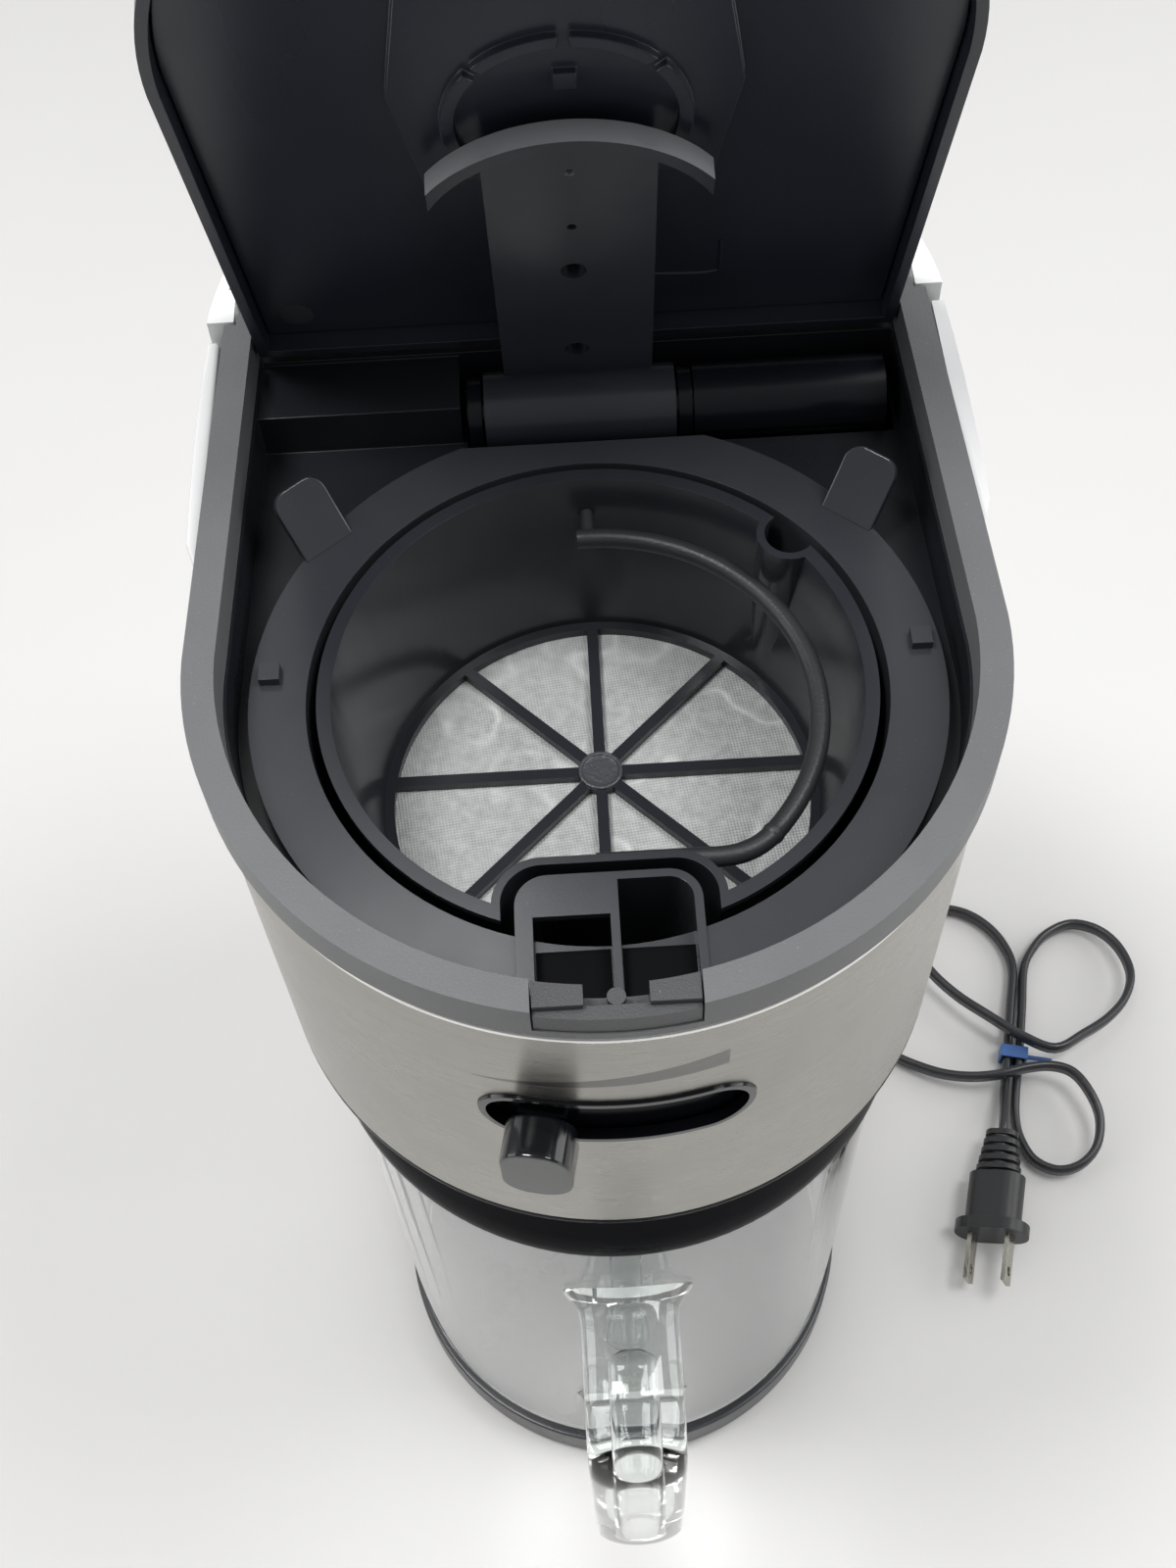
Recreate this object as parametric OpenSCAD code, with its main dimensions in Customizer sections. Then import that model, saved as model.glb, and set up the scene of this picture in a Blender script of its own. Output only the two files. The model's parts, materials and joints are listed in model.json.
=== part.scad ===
// Iced tea maker: head with a hinged lid, lift-out tea filter, glass jug and rear tank.
// The origin lies on the table, under the axis of the jug and the head.
// The front faces -Y, +X is to the right and Z points up. Sizes are in millimetres.

/* [Levels] */
// Height of the rubber feet
foot_h = 2; // [1:0.5:4]
// Height of the base tray
base_h = 13.5; // [11:0.5:18]
// Height of the glass jug
jug_h = 196; // [186:1:206]
// Height of the jug lid above the glass
jug_lid_rise = 22.6; // [20:0.2:26]
// Gap between the jug lid and the head
head_gap = 1.5; // [1:0.1:3]
// Height of the cover under the head
cover_h = 5.5; // [4.5:0.5:8]
// Height of the steel band
steel_h = 95.5; // [93:0.5:100]
// Height of the rim on the head
rim_h = 9; // [8:0.5:11]

/* [Plan] */
// Radius of the round front of the head
head_r = 76; // [70:0.5:84]
// Length of the head behind the axis beyond the radius of its front
head_tail = 9.5; // [9:0.1:10]
// Narrowing of the head on each side towards its rear
head_draw = 3; // [2.8:0.1:3.2]
// Inset of the base tray from the head at the front
base_in = 6; // [3:0.5:7]
// Inset of the base tray from the tank at the rear
base_rear_in = 2; // [1:0.5:4]
// Distance of the centre of the round rear ahead of the rear of the head
rear_in = 6.5; // [4:0.5:9.5]
// Radius of the tank beyond that of the head
tank_over = 1; // [0.5:0.1:1.4]

/* [Base] */
// Wall of the base tray
base_wall = 2.5; // [2:0.5:4]
// Thickness of the plate under the base
plate_t = 2; // [1.5:0.5:3]
// Radius of a foot
foot_r = 8; // [6:0.5:10]
// Inset of the corner feet from the sides of the base
foot_in = 26; // [22:1:34]
// Inset of the front feet from the front of the base
foot_front_in = 34; // [30:1:42]
// Distance of the rear feet behind the centre of the round rear
foot_rear_out = 39; // [26:1:43]

/* [Tower] */
// Wall of the tower
tower_wall = 2.5; // [2:0.1:3]
// Gap round the jug in the tower
jug_room = 4; // [3.5:0.1:4.5]
// Length of the tower behind the head
tower_tail = 6.8; // [6.5:0.1:7.1]
// Distance from the axis to the front tips of the side panels
cheek_front = 22.8; // [20:0.2:25]
// Inset of the inner face of the side panels from the radius of the head
cheek_side = 1.3; // [1:0.1:1.4]
// Inset of the front tips of the side panels from the radius of the head
cheek_tip_side = 0.5; // [0.2:0.1:0.7]
// Reach of the side panels beyond the radius of the head
cheek_over = 2.5; // [2:0.1:4]
// Radius of the bulge of the side panels
cheek_bulge_r = 600; // [500:10:900]
// Top of the side panels below the top of the rim
cheek_drop = 4; // [3:0.5:6]
// Distance of the rear end of the side panels ahead of the rear of the head
cheek_rear = 0.2; // [0:0.1:1.5]

/* [Brew head] */
// Inset of the steel band from the rim
steel_inset = 1.5; // [1.2:0.1:1.6]
// Thickness of the steel band
steel_t = 0.8; // [0.6:0.1:0.85]
// Rear end of the steel band
steel_back = 30; // [24:1:36]
// Inset of the black head shell from the rim
shell_inset = 2.4; // [2.4:0.1:2.6]
// Wall of the head shell
shell_wall = 3; // [2.5:0.1:3.2]
// Width of the rim
rim_w = 6; // [5.8:0.1:6.1]
// Inset of the space under the lid
cavity_inset = 6.6; // [6.5:0.1:6.8]
// Wall behind the space under the lid
cavity_rear = 2.5; // [2.1:0.1:2.7]
// Depth of the deck below the rim
deck_drop = 11.5; // [11:0.1:12]
// Inset of the well for the tea basket from the rim
well_in = 16; // [15:0.2:17]
// Thickness of the floor of the well
well_floor = 4.5; // [3:0.5:6]
// Wall round the well
well_wall = 3; // [2:0.5:3.5]
// Radius of the opening over the jug
spout_r = 12; // [10:0.5:14]
// Depth of the hinge trough below the deck
trough_drop = 9.5; // [9:0.1:10]
// Thickness of the floor of the trough
trough_floor = 3; // [2:0.5:4]
// Gap in the trough beside the left plate of the bracket
trough_gap = 0.5; // [0.3:0.1:1.1]
// Inset of the right end of the trough from the rim
trough_in = 10; // [9.5:0.1:10.5]
// Gap in the trough ahead of the bracket
trough_room = 1.5; // [1.3:0.1:1.7]
// Height of the ledge beside the trough above the deck
ledge_h = 10.5; // [9:0.5:11]
// Distance of the front of the ledge behind the front of the trough
ledge_in = 3; // [2:0.5:5]
// Inset of the block behind the head from the rim
block_in = 6; // [5.6:0.1:8]
// Top of the block behind the head below the rim
block_drop = 3; // [2.5:0.5:6]

/* [Strength slider] */
// Length of the slot
slot_w = 52; // [50:0.5:54]
// Height of the slot
slot_h = 18; // [17.5:0.5:19]
// Sideways place of the middle of the slot
slot_x = -0.6; // [-1:0.1:0]
// Middle of the slot above the lower edge of the steel
slot_up = 55.5; // [52:0.5:60]
// Width of the ring in the slot
bezel_w = 1.5; // [1:0.1:1.6]
// Height of the ring above the steel
bezel_proud = 0.7; // [0.4:0.1:1]
// Depth of the ring behind the face of the steel
bezel_depth = 1.6; // [1.2:0.1:1.8]
// Gap between the ring and the edge of the slot
bezel_gap = 0.05; // [0.03:0.01:0.1]
// Angle of the slider at rest, to the left of the front
slider_angle = 11.2; // [10.5:0.1:11.6]
// Half angle of the plate behind the slot
slider_half_angle = 33; // [31:0.5:33]
// Half height of the plate behind the slot
slider_half_h = 11.5; // [10.5:0.5:12.5]
// Thickness of the plate behind the slot
slider_t = 1.7; // [1.4:0.1:1.8]
// Gap round the plate behind the slot
slider_gap = 0.4; // [0.3:0.05:0.5]
// Half angle of the opening for the plate
window_half_angle = 50; // [49.5:0.5:54]
// Width of the knob
knob_w = 13.5; // [12:0.5:15]
// Height of the knob
knob_h = 19.5; // [18:0.5:22]
// Distance from the middle of the slot down to the middle of the knob
knob_drop = 4.2; // [3:0.2:5]
// Distance of the back of the knob in front of the steel
knob_gap = 1.5; // [1.2:0.1:2.5]
// Length of the knob
knob_len = 8.5; // [6:0.5:11]
// Corner radius of the knob
knob_round = 6; // [2:0.5:6]
// Radius of the crown of the knob
knob_crown = 12; // [11:0.5:24]
// Width of the neck of the knob
neck_w = 9; // [7:0.5:9]
// Height of the neck of the knob
neck_h = 8; // [6:0.5:8]

/* [Latch] */
// Half width of the latch block in the rim
latch_half = 14; // [12:0.5:16]
// Gap beside the latch block
latch_gap = 0.3; // [0.1:0.1:0.6]
// Height of the strip of rim under the latch block
latch_strip = 2; // [1.5:0.5:3]
// Top of the latch block below the rim
latch_drop = 2; // [1:0.5:3]
// Width of the two raised tabs of the latch block
latch_end = 8.5; // [7:0.5:9.5]
// Depth of the two raised tabs of the latch block
latch_tab = 3; // [2.5:0.1:3.5]
// Thickness of the floor between the tabs
latch_floor = 1.2; // [1:0.1:2]
// Radius of the latch pin
latch_pin_r = 1.6; // [1.2:0.1:2]

/* [Lid] */
// Distance of the lid hinge ahead of the rear of the head
hinge_in = 1.5; // [1.4:0.1:1.6]
// Depth of the lid hinge below the top of the rim
hinge_drop = 4; // [3.9:0.1:4.1]
// Angle of the open lid at rest
lid_open = 75; // [74.5:0.5:75.5]
// Inset of the lid from the rim
lid_inset = 6.7; // [6.6:0.1:6.9]
// Thickness of the top of the lid
lid_t = 3.5; // [3:0.1:3.6]
// Depth of the skirt of the lid
lid_skirt = 7; // [6:0.1:7.1]
// Thickness of the skirt of the lid
lid_skirt_t = 2.2; // [1.8:0.1:2.4]
// Distance from the lid hinge to the rear of the lid
lid_rear = 1; // [0.8:0.1:1.1]
// Radius of the hinge pins of the lid
lid_pin_r = 2; // [1.6:0.1:2.2]
// Running clearance of hinge pins
pin_gap = 0.06; // [0.03:0.01:0.09]
// Length of the ears that hold the hinge pins
ear_len = 3; // [2.5:0.5:4]
// Length of the hinge pins in the ears
lid_pin_len = 3.4; // [2.5:0.1:3.4]
// Half width of the thumb tab
tab_half = 12; // [9:0.5:14]
// Length of the thumb tab
tab_len = 5; // [3:0.5:6]
// Gap between the lid and its lining
liner_gap = 0.1; // [0.05:0.05:0.2]
// Thickness of the lining of the lid
liner_t = 2.9; // [2.5:0.1:2.9]
// Height of the pad on the lining
pad_h = 2.4; // [1.6:0.1:2.5]
// Half width of the pad on the lining
pad_half = 30.5; // [29:0.5:33]
// Half width of the pad at its ends
pad_end = 26.5; // [22:0.5:28]
// Half length of the pad
pad_len = 24; // [22:0.5:26]
// Distance from the lid hinge to the middle of the pad
pad_s = 78; // [76:0.5:80]
// Distance from the lid hinge to the middle of the ring on the pad
ring_s = 70.8; // [69:0.2:72]
// Radius of the ring on the pad
pad_ring_r = 22; // [20:0.5:23]
// Width of the ring on the pad
pad_ring_w = 2.6; // [2:0.1:4]
// Height of the ring on the pad
pad_ring_h = 1.5; // [1:0.1:1.6]
// Size of the square on the pad
pad_square = 4; // [3:0.5:5]
// Spacing of the three gaps in the ring on the pad
pad_turn = 48; // [36:1:60]

/* [Water arm] */
// Distance of the arm pivot ahead of the lid hinge
arm_back = 10; // [9.9:0.1:10.1]
// Distance of the arm pivot below the lid hinge
arm_drop = 14; // [13.9:0.1:14.1]
// Radius of the barrel of the arm
barrel_r = 8.5; // [7.5:0.1:8.6]
// Half length of the barrel
barrel_half = 20; // [18:0.5:20.2]
// Height of the underside of the arm above its pivot
arm_low = 4.6; // [4.5:0.1:5]
// Thickness of the arm
arm_t = 3.5; // [3:0.1:3.8]
// Half width of the arm
arm_half = 15.5; // [13:0.5:17]
// Length of the arm from its pivot
arm_len = 86; // [83:1:88]
// Length of the thinner root of the arm
arm_root = 10; // [9.6:0.2:12]
// Radius of the crescent at the tip of the arm
crescent_r = 31.5; // [30:0.5:33]
// Width of the crescent at the tip of the arm
crescent_w = 2.6; // [2:0.1:4]
// Half width of the crescent
crescent_half = 25.5; // [22:0.5:26.5]
// Depth of the crescent below the arm
crescent_h = 0.9; // [0.5:0.1:1]
// Distance from the pivot to the outer small spray hole
spray_a = 76; // [74:0.5:78]
// Distance from the pivot to the inner small spray hole
spray_b = 59.5; // [57:0.5:62]
// Distance from the pivot to the outer large spray hole
spray_c = 45; // [43:0.5:47]
// Distance from the pivot to the inner large spray hole
spray_d = 16; // [14:0.5:18]
// Radius of the water channel in the arm
channel_r = 1.8; // [1.2:0.1:2]
// Radius of the left journal of the arm
journal_l_r = 4; // [3:0.1:4.4]
// Length of the left journal of the arm
journal_l_len = 3.8; // [3.5:0.1:3.9]
// Radius of the right journal of the arm
journal_r_r = 5; // [4.6:0.1:5.4]
// Length of the right journal of the arm
journal_r_len = 9; // [8.6:0.2:10]
// Radius of the wire of the seals
seal_wire_r = 0.5; // [0.4:0.05:0.6]
// Spacing of the seals
seal_step = 2; // [1.6:0.1:2.2]
// Gap between the barrel and the bracket
bracket_gap = 0.6; // [0.4:0.1:0.8]
// Thickness of the plates of the bracket
bracket_t = 2.9; // [2.4:0.1:3]
// Width of the plates of the bracket
bracket_w = 15; // [13:0.5:16]
// Thickness of the foot of the bracket
bracket_foot = 2.4; // [1.6:0.2:2.6]
// Radius of the hot water tube
tube_r = 8; // [7:0.1:8.2]
// Gap in the trough at the end of the hot water tube
tube_room = 2; // [1:0.5:4]
// Bore of the hot water tube
tube_bore = 3.6; // [3:0.1:4]
// Distance of the riser from the end of the hot water tube
riser_in = 7; // [6.5:0.5:9]
// Radius of the riser hose
riser_r = 5; // [4.6:0.1:5.4]
// Gap round the riser hose
riser_gap = 0.3; // [0.2:0.05:0.6]
// Length of the spigot under the hot water tube
spigot_len = 14; // [12:0.5:16]

/* [Tea basket] */
// Inset of the flange of the basket from the rim
flange_in = 9.5; // [8.5:0.1:11]
// Thickness of the flange
flange_t = 5.2; // [4:0.1:5.5]
// Seating gap under a piece that lifts out
seat_gap = 0.3; // [0.1:0.05:0.35]
// Distance of the rear edge of the flange ahead of the trough
flange_gap = 3.5; // [2.5:0.5:4.5]
// Gap between the well and the basket at its top
well_gap = 2.5; // [2:0.1:2.8]
// Taper of the basket from its top to its bottom
basket_taper = 7.5; // [6.5:0.5:8.5]
// Wall of the basket
basket_wall = 2; // [1.6:0.1:2.2]
// Height of the lower end of the basket wall above the well floor
basket_low = 16; // [14:1:20]
// Outer radius of the nozzle
nozzle_r = 8; // [7:0.5:9]
// Length of the nozzle
nozzle_len = 6; // [5:0.5:8]
// Depth of the nozzle below the floor of the well
nozzle_drop = 1.5; // [1:0.5:2]
// Inset of the foot of the ears from the edge of the flange
ear_in = 2.6; // [2:0.1:5]
// Bearing of the ears from the sides to the rear
ear_bearing = 35.6; // [33:0.2:38]
// Turn of the ears about the upright
ear_turn = 39; // [32:1:46]
// Width of the ears
ear_w = 11.5; // [10:0.5:13]
// Thickness of the ears
ear_t = 2; // [1.6:0.2:2.4]
// Length of the ears above the flange
ear_h = 14; // [11:0.5:14.2]
// Lean of the ears
ear_lean = 42; // [40:1:46]
// Corner radius of the ears
ear_round = 3.5; // [2:0.5:5]
// Half angle of the ribs that carry the filter
rest_angle = 45; // [40:1:50]
// Length of the ribs that carry the filter
rest_len = 14; // [12:0.5:16]
// Thickness of the ribs that carry the filter
rest_t = 2; // [1.5:0.5:3]
// Left side of the front pocket
pocket_left = 17; // [16:0.5:17.5]
// Right side of the front pocket
pocket_right = 16.5; // [16:0.5:17.5]
// Inset of the deep part of the pocket from the outside of the basket
pocket_in = 2; // [1.5:0.5:4]
// Distance of the pocket ahead of the notch of the filter
pocket_gap = 2.4; // [2:0.1:3]
// Corner radius of the pocket
pocket_round = 6; // [4:0.5:6.5]
// Height of the pocket below the flange top
pocket_h = 40; // [34:1:42]
// Rise of the pocket above the flange
pocket_rise = 1; // [0.5:0.5:2]
// Wall of the pocket
pocket_wall = 1.6; // [1.2:0.1:2]
// Sideways place of the divider of the pocket
divider_x = 1.5; // [0:0.5:3]
// Thickness of the shelf in the left half of the pocket
shelf_t = 1.6; // [1.2:0.2:2.4]
// Length of the square hole in the shelf
hole_len = 2.5; // [2:0.5:9.5]
// Size of the nubs on the flange
nub = 4; // [3:0.5:5]
// Radius of the drip valve
valve_r = 4; // [3:0.1:5]
// Radius of the foot and cap of the drip valve
valve_cap_r = 7; // [6:0.5:7.5]
// Length of the valve below the nozzle
valve_drop = 5.5; // [4.5:0.5:6]

/* [Tea filter] */
// Level of the filter floor above the well floor
filter_low = 42; // [40:0.5:43]
// Height of the filter
filter_h = 43.5; // [41:0.5:43.5]
// Width of the rim of the filter beyond its wall
filter_rim_w = 1; // [0.6:0.1:1.4]
// Thickness of the rim of the filter
filter_rim_t = 1.5; // [1:0.1:2]
// Gap between the outside of the basket and the filter wall at the top
filter_room = 5; // [4.6:0.1:5.4]
// Taper of the filter wall from its top to its bottom
filter_taper = 6; // [5.6:0.1:7]
// Wall of the filter
filter_wall = 1.6; // [1.4:0.1:1.8]
// Half width of the notch at the front of the filter
notch_half = 19.5; // [19:0.1:20.5]
// Corner radius of the notch
notch_round = 7.5; // [6:0.5:8]
// Depth of the notch from the foot of the filter wall
notch_in = 7.5; // [7:0.1:8]
// Distance from the axis to the hub of the floor
hub_y = 6.3; // [3:0.1:8]
// Radius of the hub of the floor
hub_r = 4.7; // [3.5:0.1:6]
// Number of spokes of the floor
spoke_count = 8; // [6:1:10]
// Width of the spokes
spoke_w = 2.4; // [1.8:0.1:3]
// Height of the floor frame
spoke_h = 2.2; // [1.6:0.2:3]
// Thickness of the mesh
mesh_t = 0.4; // [0.3:0.1:0.6]
// Width of the ring that holds the mesh
mesh_ring_w = 1.5; // [1:0.1:2]
// Radius of the flute in the filter wall
flute_r = 5; // [4:0.2:5.2]
// Angle of the flute from the right side
flute_angle = 40; // [35:1:50]
// Height of the bail pivot above the filter floor
bail_up = 34; // [32:0.5:35]
// Radius of the bail wire
bail_wire_r = 2; // [1.5:0.1:2.2]
// Inset of the bend of the bail from the top of the filter wall
bail_in = 9.5; // [9:0.1:10]
// Angle where the bend of the bail ends, past the rear pin
bail_end_angle = 93; // [92.8:0.1:94]
// Radius of the tighter corner of the bail
bail_corner_r = 14; // [12:0.5:16]
// Distance of the front leg of the bail behind the notch
bail_gap = 5; // [4.5:0.1:6]
// Extra radius of the bead where the two bends of the bail meet
bail_bead = 0.2; // [0.1:0.05:0.4]
// Radius of the bail pins
bail_pin_r = 1.5; // [1.2:0.1:1.8]

/* [Jug] */
// Inset of the jug from the head
jug_in = 7.5; // [7:0.1:8.5]
// Wall of the jug
jug_wall = 3; // [2.5:0.1:3.2]
// Floor of the jug
jug_floor = 4; // [3:0.5:6]
// Radius of the lower edge of the jug
jug_round = 6; // [4:0.5:9]
// Gap under the jug
jug_gap = 0.3; // [0.1:0.1:0.5]
// Width of the handle strap
strap_w = 24; // [20:0.5:28]
// Thickness of the handle strap
strap_t = 9; // [7:0.5:10]
// Radius of the corners of the handle
handle_round = 17; // [13:0.5:22]
// Distance from the jug to the middle of the handle
handle_out = 38.5; // [34:0.5:44]
// Height of the upper arm of the handle above the foot of the jug
handle_high = 152; // [140:1:160]
// Height of the lower arm of the handle above the foot of the jug
handle_low = 50; // [40:1:60]
// Reach of the lip of the jug lid beyond the glass
jug_lip = 2.2; // [1.7:0.1:3]
// Depth of the jug lid over the glass
jug_lid_over = 7.4; // [6:0.2:9]
// Gap between the jug lid and the glass
jug_lid_gap = 0.3; // [0.2:0.1:0.5]
// Inset of the shoulder of the jug lid from the glass
jug_shoulder = 2.5; // [1.5:0.5:4.5]
// Thickness of the jug lid
jug_lid_t = 3; // [2.5:0.1:3.4]
// Depth of the dish in the jug lid
dish_drop = 5; // [3:0.5:7]
// Inset of the dish from the shoulder of the jug lid
dish_in = 24; // [18:1:30]
// Radius of the inlet of the jug lid
inlet_r = 8; // [6:0.5:10]
// Thickness of the gasket of the jug lid
gasket_t = 2.7; // [2:0.1:2.8]
// Height of the gasket of the jug lid
gasket_h = 3; // [2:0.5:4]

/* [Water tank] */
// Gap between the rear of the head and the tank
tank_step = 0.8; // [0.6:0.1:1.5]
// Gap between the block behind the head and the sides of the recess in the tank
recess_side = 1; // [0.8:0.1:1.2]
// Gap between the tower and the rear of the recess in the tank
recess_gap = 1; // [0.7:0.1:1.7]
// Wall of the tank
tank_wall = 2.5; // [2:0.1:3]
// Gap under the tank
tank_gap = 0.4; // [0.2:0.1:0.6]
// Thickness of the tank lid
tank_lid_t = 3; // [2.5:0.1:3.5]
// Gap round the tank lid
tank_lid_gap = 0.6; // [0.4:0.1:0.9]
// Width of the rim of the tank
tank_rim_w = 5; // [4.5:0.1:5.5]
// Radius of the pins of the tank lid
tank_pin_r = 1; // [0.8:0.1:1.1]
// Length of the pins of the tank lid
tank_pin_len = 1.4; // [1.2:0.1:1.5]
// Distance from the front edge of the tank lid to its hinge
tank_hinge_edge = 0.8; // [0.7:0.1:0.9]
// Sideways place of the tank valve
tank_valve_x = 40; // [34:1:46]
// Distance of the tank valve behind the recess in the tank
tank_valve_in = 12.7; // [10.7:0.5:16.7]
// Radius of the tank valve
tank_valve_r = 5; // [4:0.5:6]

/* [Heater and switch] */
// Radius of the heater tube
heater_r = 7; // [6:0.5:8]
// Height of the heater tube
heater_h = 120; // [100:1:140]
// Height of the heater above the base
heater_up = 30; // [24:1:40]
// Radius of the thermostat
thermostat_r = 8; // [6:0.5:9]
// Thickness of the thermostat
thermostat_t = 5; // [4:0.5:7]
// Distance of the button ahead of the rear of the head
button_ahead = 25.5; // [21.5:1:29.5]
// Height of the button
button_z = 60; // [50:1:70]
// Radius of the button
button_r = 7; // [5:0.5:8]
// Height of the button above the side panel
button_proud = 2.2; // [1.8:0.2:3]
// Travel of the button
button_travel = 1.5; // [1:0.1:1.6]
// Depth of the switch
switch_w = 12; // [10:0.5:14]

/* [Cord] */
// Width of the flat cord, lying on edge
cord_w = 3.2; // [2.8:0.1:3.4]
// Height of the flat cord, lying on edge
cord_h = 5.4; // [5:0.1:5.6]
// Length of the strain relief on the base
relief_len = 22; // [20:1:24]
// Radius of the strain relief on the base
relief_r = 4.5; // [4:0.1:5]
// Bearing of the strain relief, from the right side to the rear
relief_bearing = 40; // [40:1:41]
// Length of the ribbed neck of the plug
plug_neck = 16; // [14:1:18]
// Length of the plug body
plug_len = 17; // [14:1:20]
// Width of the plug body
plug_w = 19; // [17:0.5:21]
// Thickness of the plug body
plug_t = 12; // [11:0.5:14]
// Width of the plug flange
flange_w = 25; // [23:0.5:26]
// Height of the plug flange
flange_h = 15; // [14:0.5:15.5]
// Thickness of the plug flange
plug_flange_t = 4; // [3:0.5:5]
// Width of a plug blade
blade_w = 6.3; // [6:0.1:6.6]
// Thickness of a plug blade
blade_t = 1.5; // [1.4:0.1:1.6]
// Length of a plug blade
blade_len = 16; // [15:0.5:17]
// Spacing of the plug blades
blade_pitch = 12.7; // [12.5:0.1:12.9]
// Radius of the hole in a plug blade
blade_hole_r = 1.6; // [1.3:0.1:1.8]
// Roll of the plug on the table
plug_roll = 25; // [20:1:28]
// Width of the cord tie along the bundle
tie_len = 4.6; // [4:0.2:5]
// Thickness of the cord tie
tie_t = 0.8; // [0.6:0.1:0.9]

/* [Hidden] */
$fn = 96;

black = "#1b1b1d";
dark_grey = "#3c3d3f";
white = "#f1f1ee";
steel = "#b9b6b0";
clear = "#dfe9ea";
rubber = "#151515";

// Overshoot of cutting shapes
cut = 1;
// Plan of the head, the tank, the base and the tower
head_back = head_r + head_tail;
head_back_half = head_r - head_draw;
rear_y = head_back - rear_in;
tank_r = head_r + tank_over;
base_r = head_r - base_in;
base_rear_r = tank_r - base_rear_in;
foot_x = base_r - foot_in;
foot_front = base_r - foot_front_in;
foot_rear = rear_y + foot_rear_out;
tower_back = head_back + tower_tail;
cheek_in = head_r - cheek_side;
cheek_tip = head_r - cheek_tip_side;
cheek_max = head_r + cheek_over;
cheek_back = head_back - cheek_rear;
block_half = head_r - block_in;
tank_front = head_back + tank_step;
recess_half = block_half + recess_side;
recess_back = tower_back + recess_gap;
tank_valve_y = recess_back + tank_valve_in;
button_y = head_back - button_ahead;
// Plan of the well, the basket, the filter and the jug
cavity_back = head_back - cavity_rear;
well_r = head_r - well_in;
flange_r = head_r - flange_in;
basket_top_r = well_r - well_gap;
basket_low_r = basket_top_r - basket_taper;
filter_top_r = basket_top_r - filter_room;
filter_low_r = filter_top_r - filter_taper;
filter_rim_r = filter_top_r + filter_rim_w;
notch_rear = filter_low_r - notch_in;
pocket_rear = notch_rear + pocket_gap;
pocket_front = basket_top_r - pocket_in;
bail_r = filter_top_r - bail_in;
bail_front = notch_rear - bail_gap;
bead_turn = 0.5;
jug_r = head_r - jug_in;
jug_lid_r = jug_r + jug_lip;
jug_lid_top_r = jug_r - jug_shoulder;
dish_r = jug_lid_top_r - dish_in;
// Levels from the table up
base_top = foot_h + base_h;
jug_z = base_top + jug_gap;
jug_top = jug_z + jug_h;
jug_lid_top = jug_top + jug_lid_rise;
head_z = jug_lid_top + head_gap;
steel_z = head_z + cover_h;
rim_z = steel_z + steel_h;
top_z = rim_z + rim_h;
deck_z = rim_z - deck_drop;
well_z = steel_z + well_floor;
trough_z = deck_z - trough_drop;
hollow_top = trough_z - trough_floor;
slot_z = steel_z + slot_up;
cheek_top = top_z - cheek_drop;
// Lid hinge and arm pivot
hinge_y = head_back - hinge_in;
hinge_z = top_z - hinge_drop;
arm_y = hinge_y - arm_back;
arm_z = hinge_z - arm_drop;
// Trough, with the bracket and the hot water tube
bracket_x = barrel_half + bracket_gap;
tube_left = bracket_x + bracket_t + seat_gap;
trough_left = bracket_x + bracket_t + trough_gap;
trough_right = head_r - trough_in;
trough_front = arm_y - bracket_w / 2 - trough_room;
ledge_front = trough_front + ledge_in;
flange_back = trough_front - flange_gap;
tube_right = trough_right - tube_room;
riser_x = tube_right - riser_in;
// Slider
steel_out = head_r - steel_inset;
bezel_back = steel_out - bezel_depth;
slider_out = bezel_back - slider_gap;
// Tea basket and filter
flange_z = deck_z + seat_gap;
flange_top = flange_z + flange_t;
basket_low_z = well_z + basket_low;
nozzle_top = well_z + nozzle_len - nozzle_drop;
nozzle_z = nozzle_top - nozzle_len;
filter_z = well_z + filter_low;
filter_top = filter_z + filter_h;
bail_z = filter_z + bail_up;
// Tower and button
jug_bay_r = jug_r + jug_room;
button_in = cheek_in - tower_wall - button_travel;
// Tank
tank_z = base_top + tank_gap;
tank_pin_y = recess_back + tank_rim_w / 2 + tank_lid_t / 2 + tank_lid_gap;
tank_pin_z = top_z - tank_lid_t / 2;
tank_seat = tank_rim_w / 2;
tank_seat_half = sqrt(pow(tank_r - tank_seat, 2) - pow(tank_pin_y - rear_y, 2));
// Riser
riser_top = arm_z - spigot_len;
heater_z = base_top + heater_up;

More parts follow.
